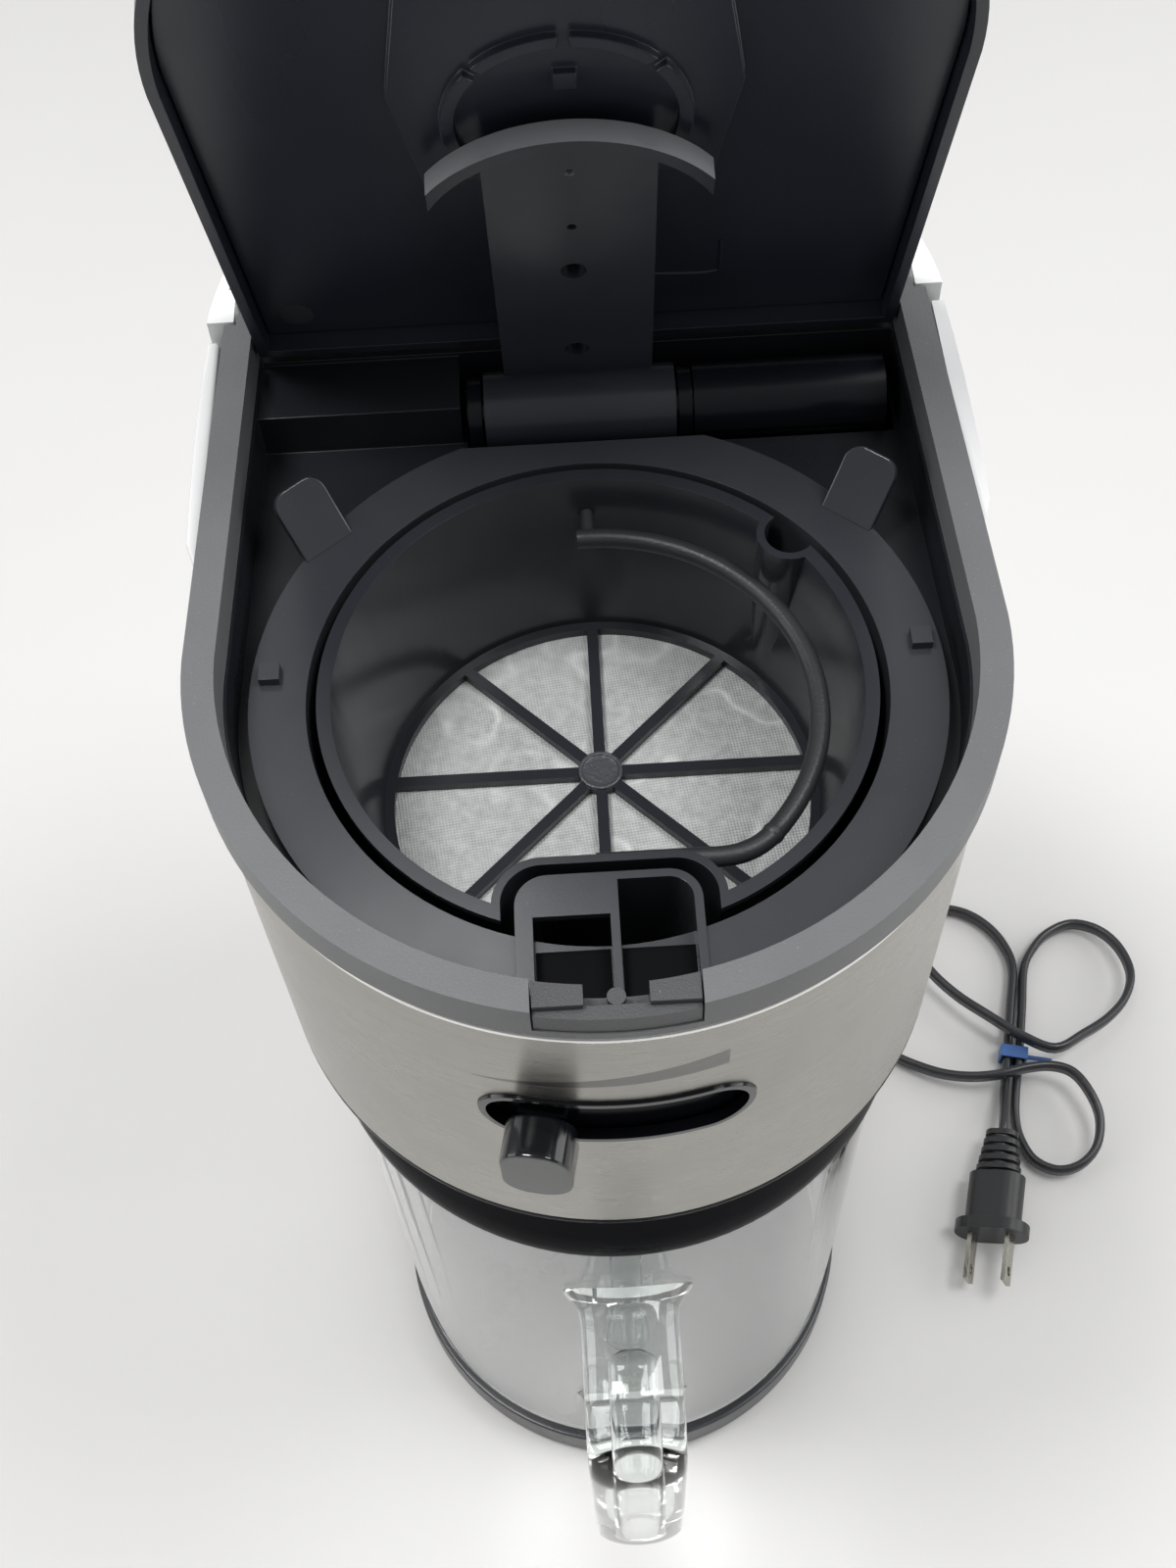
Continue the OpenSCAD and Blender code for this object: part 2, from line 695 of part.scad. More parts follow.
// Route of the cord from the strain relief to the plug: x, y and z of its middle
relief_dir = [cos(relief_bearing), sin(relief_bearing)];
relief_start = [base_rear_r * relief_dir[0], rear_y + base_rear_r * relief_dir[1]];
relief_end = relief_start + relief_len * relief_dir;
cord_exit_z = 9;
plug_axis_z = 9.9;
cord_laid = [
    [74.306, 141.35, cord_exit_z], [77.306, 143.85, 8.6], [83, 147.5, 7],
    [91.5, 147, 5.6], [99, 141, 6], [104, 131, 8],
    [107, 118, 9.6], [111, 104, 9.2], [117, 91, 8], [125, 80.5, 8.4],
    [134, 71.5, 10.2], [145, 62.5, 10.4], [156, 57, 10.4],
    [167, 62, 10], [177, 68, 9], [185, 76, 8], [189, 86, 7], [187, 97, 6],
    [181, 105, 5], [172, 108.5, 4], [163, 105.5, 3.4], [156.5, 99.5, 3],
    [152, 91.6, 3], [148.6, 76, 3.5], [144.4, 57.6, 3.9], [141, 44, 3.5], [139.4, 34.6, 3],
    [139.8, 27, 3], [143, 19, 3.6], [150, 14.5, 4.6], [158, 15.5, 6],
    [164.5, 21.5, 7.4], [167, 31, 8.8], [165, 40, 10], [160.5, 47.5, 10.4],
    [153.5, 50.4, 10.4], [145, 50.2, 10.4], [135, 48.5, 10],
    [126, 49, 8], [117, 51.5, 5.6], [109, 55.5, 3.8], [101, 60.5, 2.9],
    [95, 67.5, 2.8], [91.5, 76, 2.8], [90.5, 85.5, 2.8], [92.5, 95.5, 2.8],
    [97.5, 104.5, 2.8], [105, 111.5, 2.8], [114, 116.5, 2.8], [124, 118.5, 2.8],
    [134, 116, 2.8], [141.5, 110, 2.8], [146.3, 102, 2.8],
    [148, 92.4, 3], [144.6, 77, 3.5], [140.3, 58.4, 3.9], [137, 45, 4.6],
    [135.2, 37, 7], [133.4, 30.2, plug_axis_z], [132.6, 27.2, plug_axis_z]
];
cord_shift = [relief_end[0] - cord_laid[0][0], relief_end[1] - cord_laid[0][1], 0];
cord_route = [for (p = cord_laid) p + cord_shift];
rings_per_span = 2;
cord_sides = 8;
// The cord may touch nothing of itself nearer than this along its length
neighbour_rings = 7;
tie_at = [142.35, 58];
tie_dir = [0.222, 0.975];
tie_low = 0.3;
tie_gap = 0.25;
cord_spread = 4.1;
plug_dir = [-0.26, -0.966];

// Half width of the head plan, inset from the rim, at a distance behind the axis
function side_half(inset, y) = head_r - inset - (head_r - head_back_half) * y / head_back;

// Smooth curve through the points of a route
function spline_at(p, i, t) =
    let (
        a = p[max(i - 1, 0)],
        b = p[i],
        c = p[i + 1],
        d = p[min(i + 2, len(p) - 1)]
    )
    0.5 * (2 * b + (c - a) * t + (2 * a - 5 * b + 4 * c - d) * t * t
        + (3 * b - a - 3 * c + d) * t * t * t);
function spline(p, steps) = concat(
    [for (i = [0 : len(p) - 2], k = [0 : steps - 1]) spline_at(p, i, k / steps)],
    [p[len(p) - 1]]
);
// Direction across a curve, level with the table
function across(p, i) =
    let (
        d = p[min(i + 1, len(p) - 1)] - p[max(i - 1, 0)],
        n = norm([d[0], d[1]])
    )
    [d[1] / n, -d[0] / n, 0];
function along(p, i) =
    let (d = p[min(i + 1, len(p) - 1)] - p[max(i - 1, 0)])
    d / norm(d);

cord_path = spline(cord_route, rings_per_span);
// Least gap of the cord to itself: sideways or in height, whichever is larger
function gap_between(a, b) =
    max(norm([a[0] - b[0], a[1] - b[1]]) - cord_w, abs(a[2] - b[2]) - cord_h);
cord_gaps = [
    for (i = [0 : len(cord_path) - 1])
        for (j = [i + neighbour_rings : len(cord_path) - 1])
            if (j < len(cord_path)) gap_between(cord_path[i], cord_path[j])
];
cord_spans = [
    for (i = [1 : len(cord_path) - 1]) norm(cord_path[i] - cord_path[i - 1])
];
function total(v, i = 0) = i < len(v) ? v[i] + total(v, i + 1) : 0;
echo(least_cord_gap = min(cord_gaps), cord_length = total(cord_spans));

// Plan shapes
module half_disc(r, rear) {
    intersection() {
        circle(r = r);
        translate([-r, rear ? 0 : -r]) square([2 * r, r]);
    }
}

// Round front and straight sides that draw in towards the rear
module head_plan(inset, back) {
    r = head_r - inset;
    half = side_half(inset, back);
    half_disc(r, false);
    polygon([[r, 0], [half, back], [-half, back], [-r, 0]]);
}

// Round front and round rear
module base_plan(inset) {
    front = base_r - inset;
    rear = base_rear_r - inset;
    half_disc(front, false);
    polygon([[front, 0], [rear, rear_y], [-rear, rear_y], [-front, 0]]);
    translate([0, rear_y]) half_disc(rear, true);
}

// Round rear behind a straight front with a recess
module tank_plan(inset) {
    r = tank_r - inset;
    front = tank_front + inset;
    recess = recess_back + inset;
    intersection() {
        translate([0, rear_y]) circle(r = r);
        union() {
            translate([-r, recess]) square([2 * r, rear_y + r - recess]);
            for (side = [-1, 1])
                translate([side > 0 ? recess_half + inset : -r, front])
                    square([r - recess_half - inset, recess - front]);
        }
    }
}

// Rounded bar section, wide along X
module stadium(w, h) {
    square([w - h, h], center = true);
    for (side = [-1, 1]) translate([side * (w - h) / 2, 0]) circle(d = h);
}

// Rounded rectangle
module rounded(w, h, r) {
    square([w - 2 * r, h], center = true);
    square([w, h - 2 * r], center = true);
    for (sx = [-1, 1], sy = [-1, 1])
        translate([sx * (w / 2 - r), sy * (h / 2 - r)]) circle(r = r);
}

// Flat shape in X and Z, extruded along -Y from the level y
module facing_front(y, depth) {
    translate([0, y, 0]) rotate([90, 0, 0]) linear_extrude(depth) children();
}

// Rod along +X from x
module rod_x(x, y, z, r, length) {
    translate([x, y, z]) rotate([0, 90, 0]) cylinder(r = r, h = length);
}

// Base
module base() {
    color(black) difference() {
        translate([0, 0, foot_h]) linear_extrude(base_h) base_plan(0);
        translate([0, 0, foot_h - cut])
            linear_extrude(base_h - base_wall + cut) base_plan(base_wall);
        translate([tank_valve_x, tank_valve_y, foot_h])
            cylinder(r = tank_valve_r + tank_gap, h = base_h + cut);
    }
}

module base_plate() {
    color(black) translate([0, 0, foot_h])
        linear_extrude(plate_t) base_plan(base_wall + seat_gap);
}

module feet() {
    color(rubber) {
        cylinder(r = foot_r, h = foot_h);
        for (side = [-1, 1]) {
            translate([side * foot_x, -foot_front, 0]) cylinder(r = foot_r, h = foot_h);
            translate([side * foot_x, foot_rear, 0]) cylinder(r = foot_r, h = foot_h);
        }
    }
}

// Tower behind the jug, with a bay that follows the jug
module tower_plan(inset) {
    half = cheek_in - inset;
    tip = cheek_tip - inset;
    front = cheek_front + inset;
    back = tower_back - inset;
    step = cheek_back - inset;
    narrow = block_half - inset;
    difference() {
        polygon([[-tip, front], [tip, front], [half, step], [narrow, step], [narrow, back],
            [-narrow, back], [-narrow, step], [-half, step]]);
        circle(r = jug_bay_r + inset);
    }
}

module tower() {
    color(white) difference() {
        translate([0, 0, base_top]) linear_extrude(head_z - base_top) tower_plan(0);
        translate([0, 0, base_top - cut])
            linear_extrude(head_z - base_top + 2 * cut) tower_plan(tower_wall);
        rod_x(button_in, button_y, button_z, button_r + pin_gap, cheek_max - button_in);
    }
}

// Side panel with a bulged outside and a slanted front tip
module cheek_plan() {
    outside = 2 * cheek_max - cheek_tip;
    slant = (outside - cheek_tip) * 3;
    intersection() {
        translate([cheek_max - cheek_bulge_r, (cheek_front + cheek_back) / 2 - slant / 3])
            circle(r = cheek_bulge_r, $fn = 360);
        polygon([[cheek_tip, cheek_front], [outside, cheek_front + slant], [outside, cheek_back],
            [cheek_in, cheek_back]]);
    }
}

module cheek(with_hole) {
    difference() {
        translate([0, 0, base_top]) linear_extrude(cheek_top - base_top) cheek_plan();
        if (with_hole)
            rod_x(cheek_in - cut, button_y, button_z, button_r + seat_gap, cheek_max - cheek_in + 2 * cut);
    }
}

module cheek_left() {
    color(white) mirror([1, 0, 0]) cheek(false);
}

module cheek_right() {
    color(white) cheek(true);
}

// Brew head
module head_cover() {
    step = cover_h / 2;
    color(black) difference() {
        union() {
            translate([0, 0, head_z + step]) linear_extrude(step) head_plan(steel_inset, head_back);
            translate([0, 0, head_z]) linear_extrude(step) head_plan(rim_w, head_back);
        }
        translate([0, 0, head_z - cut]) cylinder(r = spout_r, h = cover_h + 2 * cut);
        translate([riser_x, arm_y, head_z - cut])
            cylinder(r = riser_r + riser_gap, h = cover_h + 2 * cut);
    }
}

module head_shell() {
    open_h = top_z - deck_z;
    under = hollow_top - steel_z;
    color(black) difference() {
        union() {
            translate([0, 0, steel_z]) linear_extrude(steel_h) head_plan(shell_inset, head_back);
            translate([-block_half, cavity_back, steel_z])
                cube([2 * block_half, tower_back - cavity_back, steel_h - block_drop]);
        }
        // Space under the lid, with a raised ledge on the left of the trough
        translate([0, 0, deck_z + ledge_h])
            linear_extrude(open_h) head_plan(cavity_inset, cavity_back);
        translate([0, 0, deck_z]) linear_extrude(open_h) difference() {
            head_plan(cavity_inset, cavity_back);
            translate([-head_r, ledge_front])
                square([head_r - trough_left - cut, head_back - ledge_front]);
        }
        translate([0, 0, well_z]) cylinder(r = well_r, h = top_z - well_z);
        translate([0, 0, steel_z - cut]) cylinder(r = spout_r, h = well_floor + 2 * cut);
        translate([-trough_left, trough_front, trough_z])
            cube([trough_left + trough_right, cavity_back - trough_front, open_h]);
        // Hollow between the well and the outer wall, open below
        translate([0, 0, steel_z - cut]) linear_extrude(under + cut) difference() {
            head_plan(shell_inset + shell_wall, cavity_back);
            circle(r = well_r + well_wall);
        }
        translate([-block_half + shell_wall, cavity_back - cut, steel_z - cut])
            cube([2 * (block_half - shell_wall), tower_back - cavity_back - shell_wall + cut, under + cut]);
        translate([riser_x, arm_y, hollow_top - cut])
            cylinder(r = riser_r + riser_gap, h = trough_floor + 2 * cut);
        // Opening in which the slider plate runs
        slider_ring(slider_out - slider_t - slider_gap, head_r, window_half_angle, 0,
            slider_half_h + slider_gap);
    }
}

// Piece of a ring round the axis, centred on the slot's height
module slider_ring(r_in, r_out, half_angle, bearing, half_h) {
    translate([0, 0, slot_z - half_h]) rotate([0, 0, -90 + bearing - half_angle])
        rotate_extrude(angle = 2 * half_angle)
            translate([r_in, 0]) square([r_out - r_in, 2 * half_h]);
}

module slot_cut(shrink) {
    translate([slot_x, 0, slot_z]) facing_front(-head_r / 2, head_r / 2 + 2 * cut)
        stadium(slot_w - 2 * shrink, slot_h - 2 * shrink);
}

module steel_wrap() {
    color(steel) difference() {
        translate([0, 0, steel_z]) linear_extrude(steel_h) difference() {
            head_plan(steel_inset, steel_back);
            head_plan(steel_inset + steel_t, steel_back + cut);
        }
        slot_cut(0);
    }
}

module slot_bezel() {
    color(black) intersection() {
        difference() {
            slot_cut(bezel_gap);
            slot_cut(bezel_w);
        }
        translate([0, 0, slot_z - slot_h]) difference() {
            cylinder(r = steel_out + bezel_proud, h = 2 * slot_h);
            translate([0, 0, -cut]) cylinder(r = bezel_back, h = 2 * slot_h + 2 * cut);
        }
    }
}

module head_rim() {
    color(dark_grey) difference() {
        union() {
            translate([0, 0, rim_z]) linear_extrude(rim_h) difference() {
                head_plan(0, head_back);
                head_plan(rim_w, head_back + cut);
            }
            for (side = [-1, 1]) hinge_ear(side);
        }
        translate([-latch_half - latch_gap, -head_r - cut, rim_z + latch_strip])
            cube([2 * (latch_half + latch_gap), rim_w + head_r / 4, rim_h]);
        for (side = [-1, 1]) lid_pin(side, lid_pin_r + pin_gap, lid_pin_len + seat_gap);
    }
}

// Ear behind the rim round the hinge pin of the lid
module hinge_ear(side) {
    inside = side_half(rim_w, head_back) + pin_gap;
    thick = lid_pin_len;
    translate([side > 0 ? inside : -inside - thick, head_back - ear_len, rim_z])
        cube([thick, 2 * ear_len, rim_h]);
}

// Hinge pin of the lid, from the side of the lid outwards
module lid_pin(side, r, length) {
    inside = side_half(lid_inset, hinge_y) - lid_skirt_t / 2;
    rod_x(side > 0 ? inside : -inside - length, hinge_y, hinge_z, r, length);
}

module latch_block() {
    z = rim_z + latch_strip;
    h = rim_h - latch_strip;
    inside = head_r - rim_w;
    lip = rim_w - latch_tab;
    color(dark_grey) intersection() {
        translate([0, 0, z]) linear_extrude(rim_h) difference() {
            circle(r = head_r - latch_gap);
            circle(r = inside);
        }
        union() {
            translate([-latch_half, -head_r, z]) cube([2 * latch_half, head_r / 2, latch_floor]);
            translate([-latch_half, -head_r, z]) cube([2 * latch_half, lip, h - latch_drop]);
            for (side = [-1, 1])
                translate([side > 0 ? latch_half - latch_end : -latch_half, lip - head_r - cut / 2, z])
                    cube([latch_end, head_r / 2, h - latch_drop / 4]);
            translate([0, -inside - latch_tab / 2, z]) cylinder(r = latch_pin_r, h = h - latch_drop);
        }
    }
}

// Strength slider
module slider_plate() {
    color(black) slider_ring(slider_out - slider_t, slider_out, slider_half_angle, -slider_angle,
        slider_half_h);
}

module strength_knob() {
    front = steel_out + knob_gap + knob_len;
    color(black) rotate([0, 0, -slider_angle]) {
        translate([0, 0, slot_z - knob_drop]) facing_front(-front + knob_len, knob_len)
            intersection() {
                rounded(knob_w, knob_h, knob_round);
                translate([0, knob_h / 2 - knob_crown]) circle(r = knob_crown);
            }
        translate([0, 0, slot_z]) facing_front(-slider_out, front - slider_out - knob_len)
            square([neck_w, neck_h], center = true);
    }
}

// Hot water path
module bracket_plate(x, top, bore) {
    difference() {
        union() {
            translate([x, arm_y - bracket_w / 2, trough_z]) cube([bracket_t, bracket_w, arm_z - trough_z]);
            rod_x(x, arm_y, arm_z, top, bracket_t);
        }
        rod_x(x - cut, arm_y, arm_z, bore, bracket_t + 2 * cut);
    }
}

module hinge_bracket() {
    saddle_x = (tube_left + tube_right) / 2;
    left = bracket_x + bracket_t;
    color(black) {
        bracket_plate(-left, bracket_w / 2, journal_l_r + pin_gap);
        bracket_plate(bracket_x, bracket_w / 2, journal_r_r + pin_gap);
        difference() {
            translate([saddle_x, arm_y - bracket_w / 2, trough_z])
                cube([bracket_t, bracket_w, arm_z - trough_z]);
            rod_x(saddle_x - cut, arm_y, arm_z, tube_r + pin_gap, bracket_t + 2 * cut);
        }
        translate([-left, arm_y - bracket_w / 2, trough_z])
            cube([left + saddle_x + bracket_t, bracket_w, bracket_foot]);
    }
}

module hot_water_tube() {
    socket = bracket_x + journal_r_len - bracket_gap + pin_gap;
    color(black) difference() {
        union() {
            rod_x(tube_left, arm_y, arm_z, tube_r, tube_right - tube_left);
            translate([riser_x, arm_y, riser_top]) cylinder(r = riser_r, h = spigot_len);
        }
        rod_x(tube_left - cut, arm_y, arm_z, journal_r_r + pin_gap, socket - tube_left + cut);
        rod_x(tube_left, arm_y, arm_z, tube_bore, riser_x - tube_left);
        translate([riser_x, arm_y, riser_top - cut]) cylinder(r = tube_bore, h = spigot_len + cut);
    }
}

module riser_hose() {
    low = heater_z + heater_h;
    color(clear) translate([riser_x, arm_y, low]) difference() {
        cylinder(r = riser_r, h = riser_top - low);
        translate([0, 0, -cut]) cylinder(r = tube_bore, h = riser_top - low + 2 * cut);
    }
}

module heater() {
    color("silver") difference() {
        union() {
            translate([riser_x, arm_y, heater_z]) cylinder(r = heater_r, h = heater_h);
            translate([riser_x - 2 * heater_r, arm_y, base_top])
                cylinder(r = heater_r * 2 / 3, h = heater_h + heater_up);
            translate([riser_x - 2 * heater_r, arm_y - heater_r / 2, heater_z])
                cube([2 * heater_r, heater_r, heater_h]);
        }
        translate([riser_x, arm_y, heater_z - cut]) cylinder(r = tube_bore, h = heater_h + 2 * cut);
    }
}

module thermostat() {
    color("tan") facing_front(arm_y - heater_r, thermostat_t)
        translate([riser_x, heater_z + heater_h / 2]) circle(r = thermostat_r);
}

module power_switch() {
    w = switch_w;
    x = button_in - button_travel - seat_gap;
    color("dimgray") translate([x - w, button_y - w / 2, base_top]) cube([w, w, button_z - base_top + w]);
}

module power_button() {
    color(black) rod_x(button_in, button_y, button_z, button_r, cheek_max + button_proud - button_in);
}

// Lid, drawn closed and then opened about its hinge
module lid_pose() {
    translate([0, hinge_y, hinge_z]) rotate([-lid_open, 0, 0])
        translate([0, -hinge_y, -hinge_z]) children();
}

module lid_shell() {
    rear = hinge_y + lid_rear;
    color(black) lid_pose() {
        difference() {
            translate([0, 0, top_z - lid_skirt])
                linear_extrude(lid_skirt + lid_t) head_plan(lid_inset, rear);
            translate([0, 0, top_z - lid_skirt - cut])
                linear_extrude(lid_skirt + cut) head_plan(lid_inset + lid_skirt_t, rear - lid_skirt_t);
        }
        for (side = [-1, 1]) lid_pin(side, lid_pin_r, lid_pin_len);
        translate([-tab_half, -head_r + lid_inset - tab_len, top_z + latch_gap])
            cube([2 * tab_half, tab_len + lid_skirt_t, lid_t - latch_gap]);
    }
}

module lid_liner() {
    low = top_z - liner_gap - liner_t;
    inset = lid_inset + lid_skirt_t + latch_gap;
    rear = hinge_y + lid_rear - lid_skirt_t - latch_gap;
    pad_y = hinge_y - pad_s;
    ring_y = hinge_y - ring_s;
    color(black) lid_pose() {
        translate([0, 0, low]) linear_extrude(liner_t) head_plan(inset, rear);
        translate([0, pad_y, low - pad_h]) linear_extrude(pad_h)
            polygon([[pad_end, pad_len], [pad_half, 0], [pad_end, -pad_len], [-pad_end, -pad_len],
                [-pad_half, 0], [-pad_end, pad_len]]);
        translate([0, ring_y, low - pad_h - pad_ring_h]) linear_extrude(pad_ring_h) {
            difference() {
                circle(r = pad_ring_r);
                circle(r = pad_ring_r - pad_ring_w);
                for (i = [-1 : 1]) rotate([0, 0, -90 + i * pad_turn])
                    translate([0, -pad_square / 4]) square([2 * pad_ring_r, pad_square / 2]);
            }
            translate([-pad_square / 2, -pad_ring_r / 2 - pad_square / 2]) square(pad_square);
        }
    }
}

// Arm that carries hot water to the spray holes, drawn closed and opened about its pivot
module arm_pose() {
    translate([0, arm_y, arm_z]) rotate([-lid_open, 0, 0]) children();
}

module water_arm() {
    tip = arm_len - crescent_r;
    inner = crescent_r - crescent_w;
    color(black) arm_pose() difference() {
        union() {
            rod_x(-barrel_half, 0, 0, barrel_r, 2 * barrel_half);
            rod_x(-barrel_half - journal_l_len, 0, 0, journal_l_r, journal_l_len);
            right_journal();
            translate([-arm_half, -arm_root - cut, arm_low])
                cube([2 * arm_half, arm_root + cut, barrel_r - arm_low - latch_gap]);
            translate([-arm_half, -tip - inner, arm_low])
                cube([2 * arm_half, tip + inner - arm_root, arm_t]);
            translate([0, -tip, arm_low - crescent_h]) linear_extrude(arm_t + crescent_h)
                intersection() {
                    difference() {
                        circle(r = crescent_r);
                        circle(r = inner);
                    }
                    translate([-crescent_half, -crescent_r]) square([2 * crescent_half, crescent_r]);
                }
        }
        rod_x(0, 0, 0, channel_r, barrel_half + journal_r_len + cut);
        for (s = [spray_a, spray_b]) translate([0, -s, 0]) cylinder(r = channel_r / 2, h = 2 * barrel_r);
        for (s = [spray_c, spray_d]) translate([0, -s, 0]) cylinder(r = channel_r * 1.4, h = 2 * barrel_r);
    }
}

// Right journal of the arm, with a groove for each seal
module right_journal() {
    groove = journal_r_r - 2 * seal_wire_r;
    rotate([0, 90, 0]) translate([0, 0, barrel_half]) rotate_extrude()
        difference() {
            square([journal_r_r, journal_r_len]);
            for (i = [0, 1]) translate([groove, seal_at(i) - barrel_half - seal_wire_r])
                square([2 * seal_wire_r + cut, 2 * seal_wire_r]);
        }
}
function seal_at(i) = tube_left + seal_step * (i + 0.5);

module swivel_seals() {
    color(rubber) arm_pose() for (i = [0, 1])
        translate([seal_at(i), 0, 0]) rotate([0, 90, 0]) rotate_extrude()
            translate([journal_r_r - seal_wire_r, 0]) circle(r = seal_wire_r, $fn = 24);
}

// Tea basket
module tea_basket() {
    in_top = basket_top_r - basket_wall;
    in_low = basket_low_r - basket_wall;
    neck_in = nozzle_r - basket_wall;
    color(black) difference() {
        union() {
            rotate_extrude() polygon([
                [in_top, flange_top], [basket_top_r, flange_top], [basket_top_r, flange_z],
                [basket_low_r, basket_low_z], [nozzle_r, nozzle_top], [nozzle_r, nozzle_z],
                [valve_r + pin_gap, nozzle_z], [valve_r + pin_gap, nozzle_top],
                [neck_in, nozzle_top], [neck_in, nozzle_top + basket_wall],
                [in_low, basket_low_z + basket_wall]
            ]);
            translate([0, 0, flange_z]) linear_extrude(flange_t) difference() {
                intersection() {
                    circle(r = flange_r);
                    translate([-flange_r, -flange_r]) square([2 * flange_r, flange_r + flange_back]);
                }
                circle(r = basket_top_r - basket_wall / 2);
            }
            for (side = [-1, 1])
                translate([side * (flange_r - nub) - nub / 2, nub, flange_top]) cube([nub, nub, nub / 2]);
            for (i = [0 : 3]) rotate([0, 0, rest_angle + 90 * i])
                translate([in_low - rest_len, -rest_t / 2, filter_z - mesh_t - seat_gap - rest_len])
                    cube([rest_len + basket_wall, rest_t, rest_len]);
            pocket_outside();
        }
        pocket_inside();
    }
}

// Leaning ear for lifting the basket
module basket_ear(side) {
    r = flange_r - ear_in;
    h = ear_h + ear_t;
    translate([side * r * cos(ear_bearing), r * sin(ear_bearing), flange_top - ear_t / 2])
        rotate([0, 0, -side * ear_turn]) rotate([-ear_lean, 0, 0]) facing_front(ear_t / 2, ear_t) {
            translate([-ear_w / 2, -ear_t / 2]) square([ear_w, h / 2]);
            translate([0, h / 2 - ear_t / 2]) rounded(ear_w, h, ear_round);
        }
}

// Ears to lift the basket by, standing on its flange
module basket_ears() {
    color(black) difference() {
        for (side = [-1, 1]) basket_ear(side);
        translate([0, 0, flange_z]) cylinder(r = flange_r + ear_t, h = flange_t);
    }
}

// Plan of the pocket: round rear corners and straight sides out to the flange
module pocket_plan(inset, front) {
    left = pocket_left - inset;
    right = pocket_right - inset;
    rear = pocket_rear + inset;
    r = pocket_round - inset;
    intersection() {
        union() {
            translate([-left, -front]) square([left + right, front - rear - r]);
            translate([-left + r, -front]) square([left + right - 2 * r, front - rear]);
            for (x = [-left + r, right - r]) translate([x, -rear - r]) circle(r = r);
        }
        circle(r = front);
    }
}

// Part of the pocket between a left, a right and a rear limit
module pocket_part(span, front) {
    intersection() {
        pocket_plan(pocket_wall, front);
        translate([span[0], -front]) square([span[1] - span[0], front + span[2]]);
    }
}

module pocket_outside() {
    translate([0, 0, flange_top + pocket_rise - pocket_h])
        linear_extrude(pocket_h) pocket_plan(0, pocket_front);
    translate([0, 0, flange_z]) linear_extrude(flange_t + pocket_rise) pocket_plan(0, flange_r);
}

// Deep hole on the right and a shelf with a square hole on the left, both open to the front
module pocket_inside() {
    top = flange_top + pocket_rise;
    low = top - pocket_h + pocket_wall;
    half = divider_x - pocket_wall;
    hole = pocket_front - pocket_wall;
    hole_rear = -hole + pocket_wall + hole_len;
    hole_left = -pocket_left + 2 * pocket_wall;
    for (span = [[hole_left, half, hole_rear], [divider_x, pocket_right, 0]]) {
        translate([0, 0, flange_z + shelf_t]) linear_extrude(pocket_h) pocket_part(span, flange_r + cut);
        translate([0, 0, low]) linear_extrude(pocket_h) pocket_part(span, hole);
    }
    translate([0, 0, low]) linear_extrude(top - shelf_t - low) pocket_part([-pocket_left, half, 0], hole);
}

module drip_valve() {
    low = nozzle_z - valve_drop;
    foot = valve_drop / 4;
    color("darkslategray") {
        translate([0, 0, low]) cylinder(r = valve_r, h = valve_drop + nozzle_len + seat_gap);
        translate([0, 0, low]) cylinder(r = valve_cap_r, h = foot);
        translate([0, 0, nozzle_top + seat_gap]) cylinder(r = valve_r + basket_wall / 2, h = basket_wall);
    }
}

// Tea filter: tapered cup with a notch at the front and a spoked floor
module cup(r_low, r_top, z, h) {
    translate([0, 0, z]) rotate_extrude() polygon([[0, 0], [r_low, 0], [r_top, h], [0, h]]);
}

module notch(grow) {
    r = notch_round;
    front = filter_rim_r + cut;
    translate([0, 0, filter_z - cut]) linear_extrude(filter_h + filter_rim_t + 2 * cut) {
        translate([-notch_half - grow, -front]) square([2 * (notch_half + grow), front - notch_rear - r]);
        translate([-notch_half + r, -front]) square([2 * (notch_half - r), front - notch_rear + grow]);
        for (side = [-1, 1]) translate([side * (notch_half - r), -notch_rear - r]) circle(r = r + grow);
    }
}

// Upright flute in the wall of the filter
module flute(grow) {
    rotate([0, 0, flute_angle]) translate([filter_top_r, 0, filter_z - cut])
        cylinder(r = flute_r + grow, h = filter_h + filter_rim_t + 2 * cut);
}

module filter_frame() {
    wall = filter_wall;
    floor_in = filter_low_r - wall;
    color(black) {
        difference() {
            union() {
                difference() {
                    cup(filter_low_r, filter_top_r, filter_z, filter_h);
                    notch(0);
                    flute(0);
                }
                translate([0, 0, filter_top - filter_rim_t]) difference() {
                    cylinder(r = filter_rim_r, h = filter_rim_t);
                    translate([0, 0, filter_rim_t - filter_top]) notch(0);
                    translate([0, 0, filter_rim_t - filter_top]) flute(0);
                }
            }
            difference() {
                translate([0, 0, -cut]) cup(floor_in, filter_top_r - wall, filter_z, filter_h + 2 * cut);
                notch(wall);
                flute(wall);
            }
            for (y = [bail_r - cut, -notch_rear - cut])
                translate([0, y, bail_z]) rotate([-90, 0, 0])
                    cylinder(r = bail_pin_r + pin_gap, h = filter_top_r - bail_r + 4 * cut);
        }
        floor_frame();
    }
}

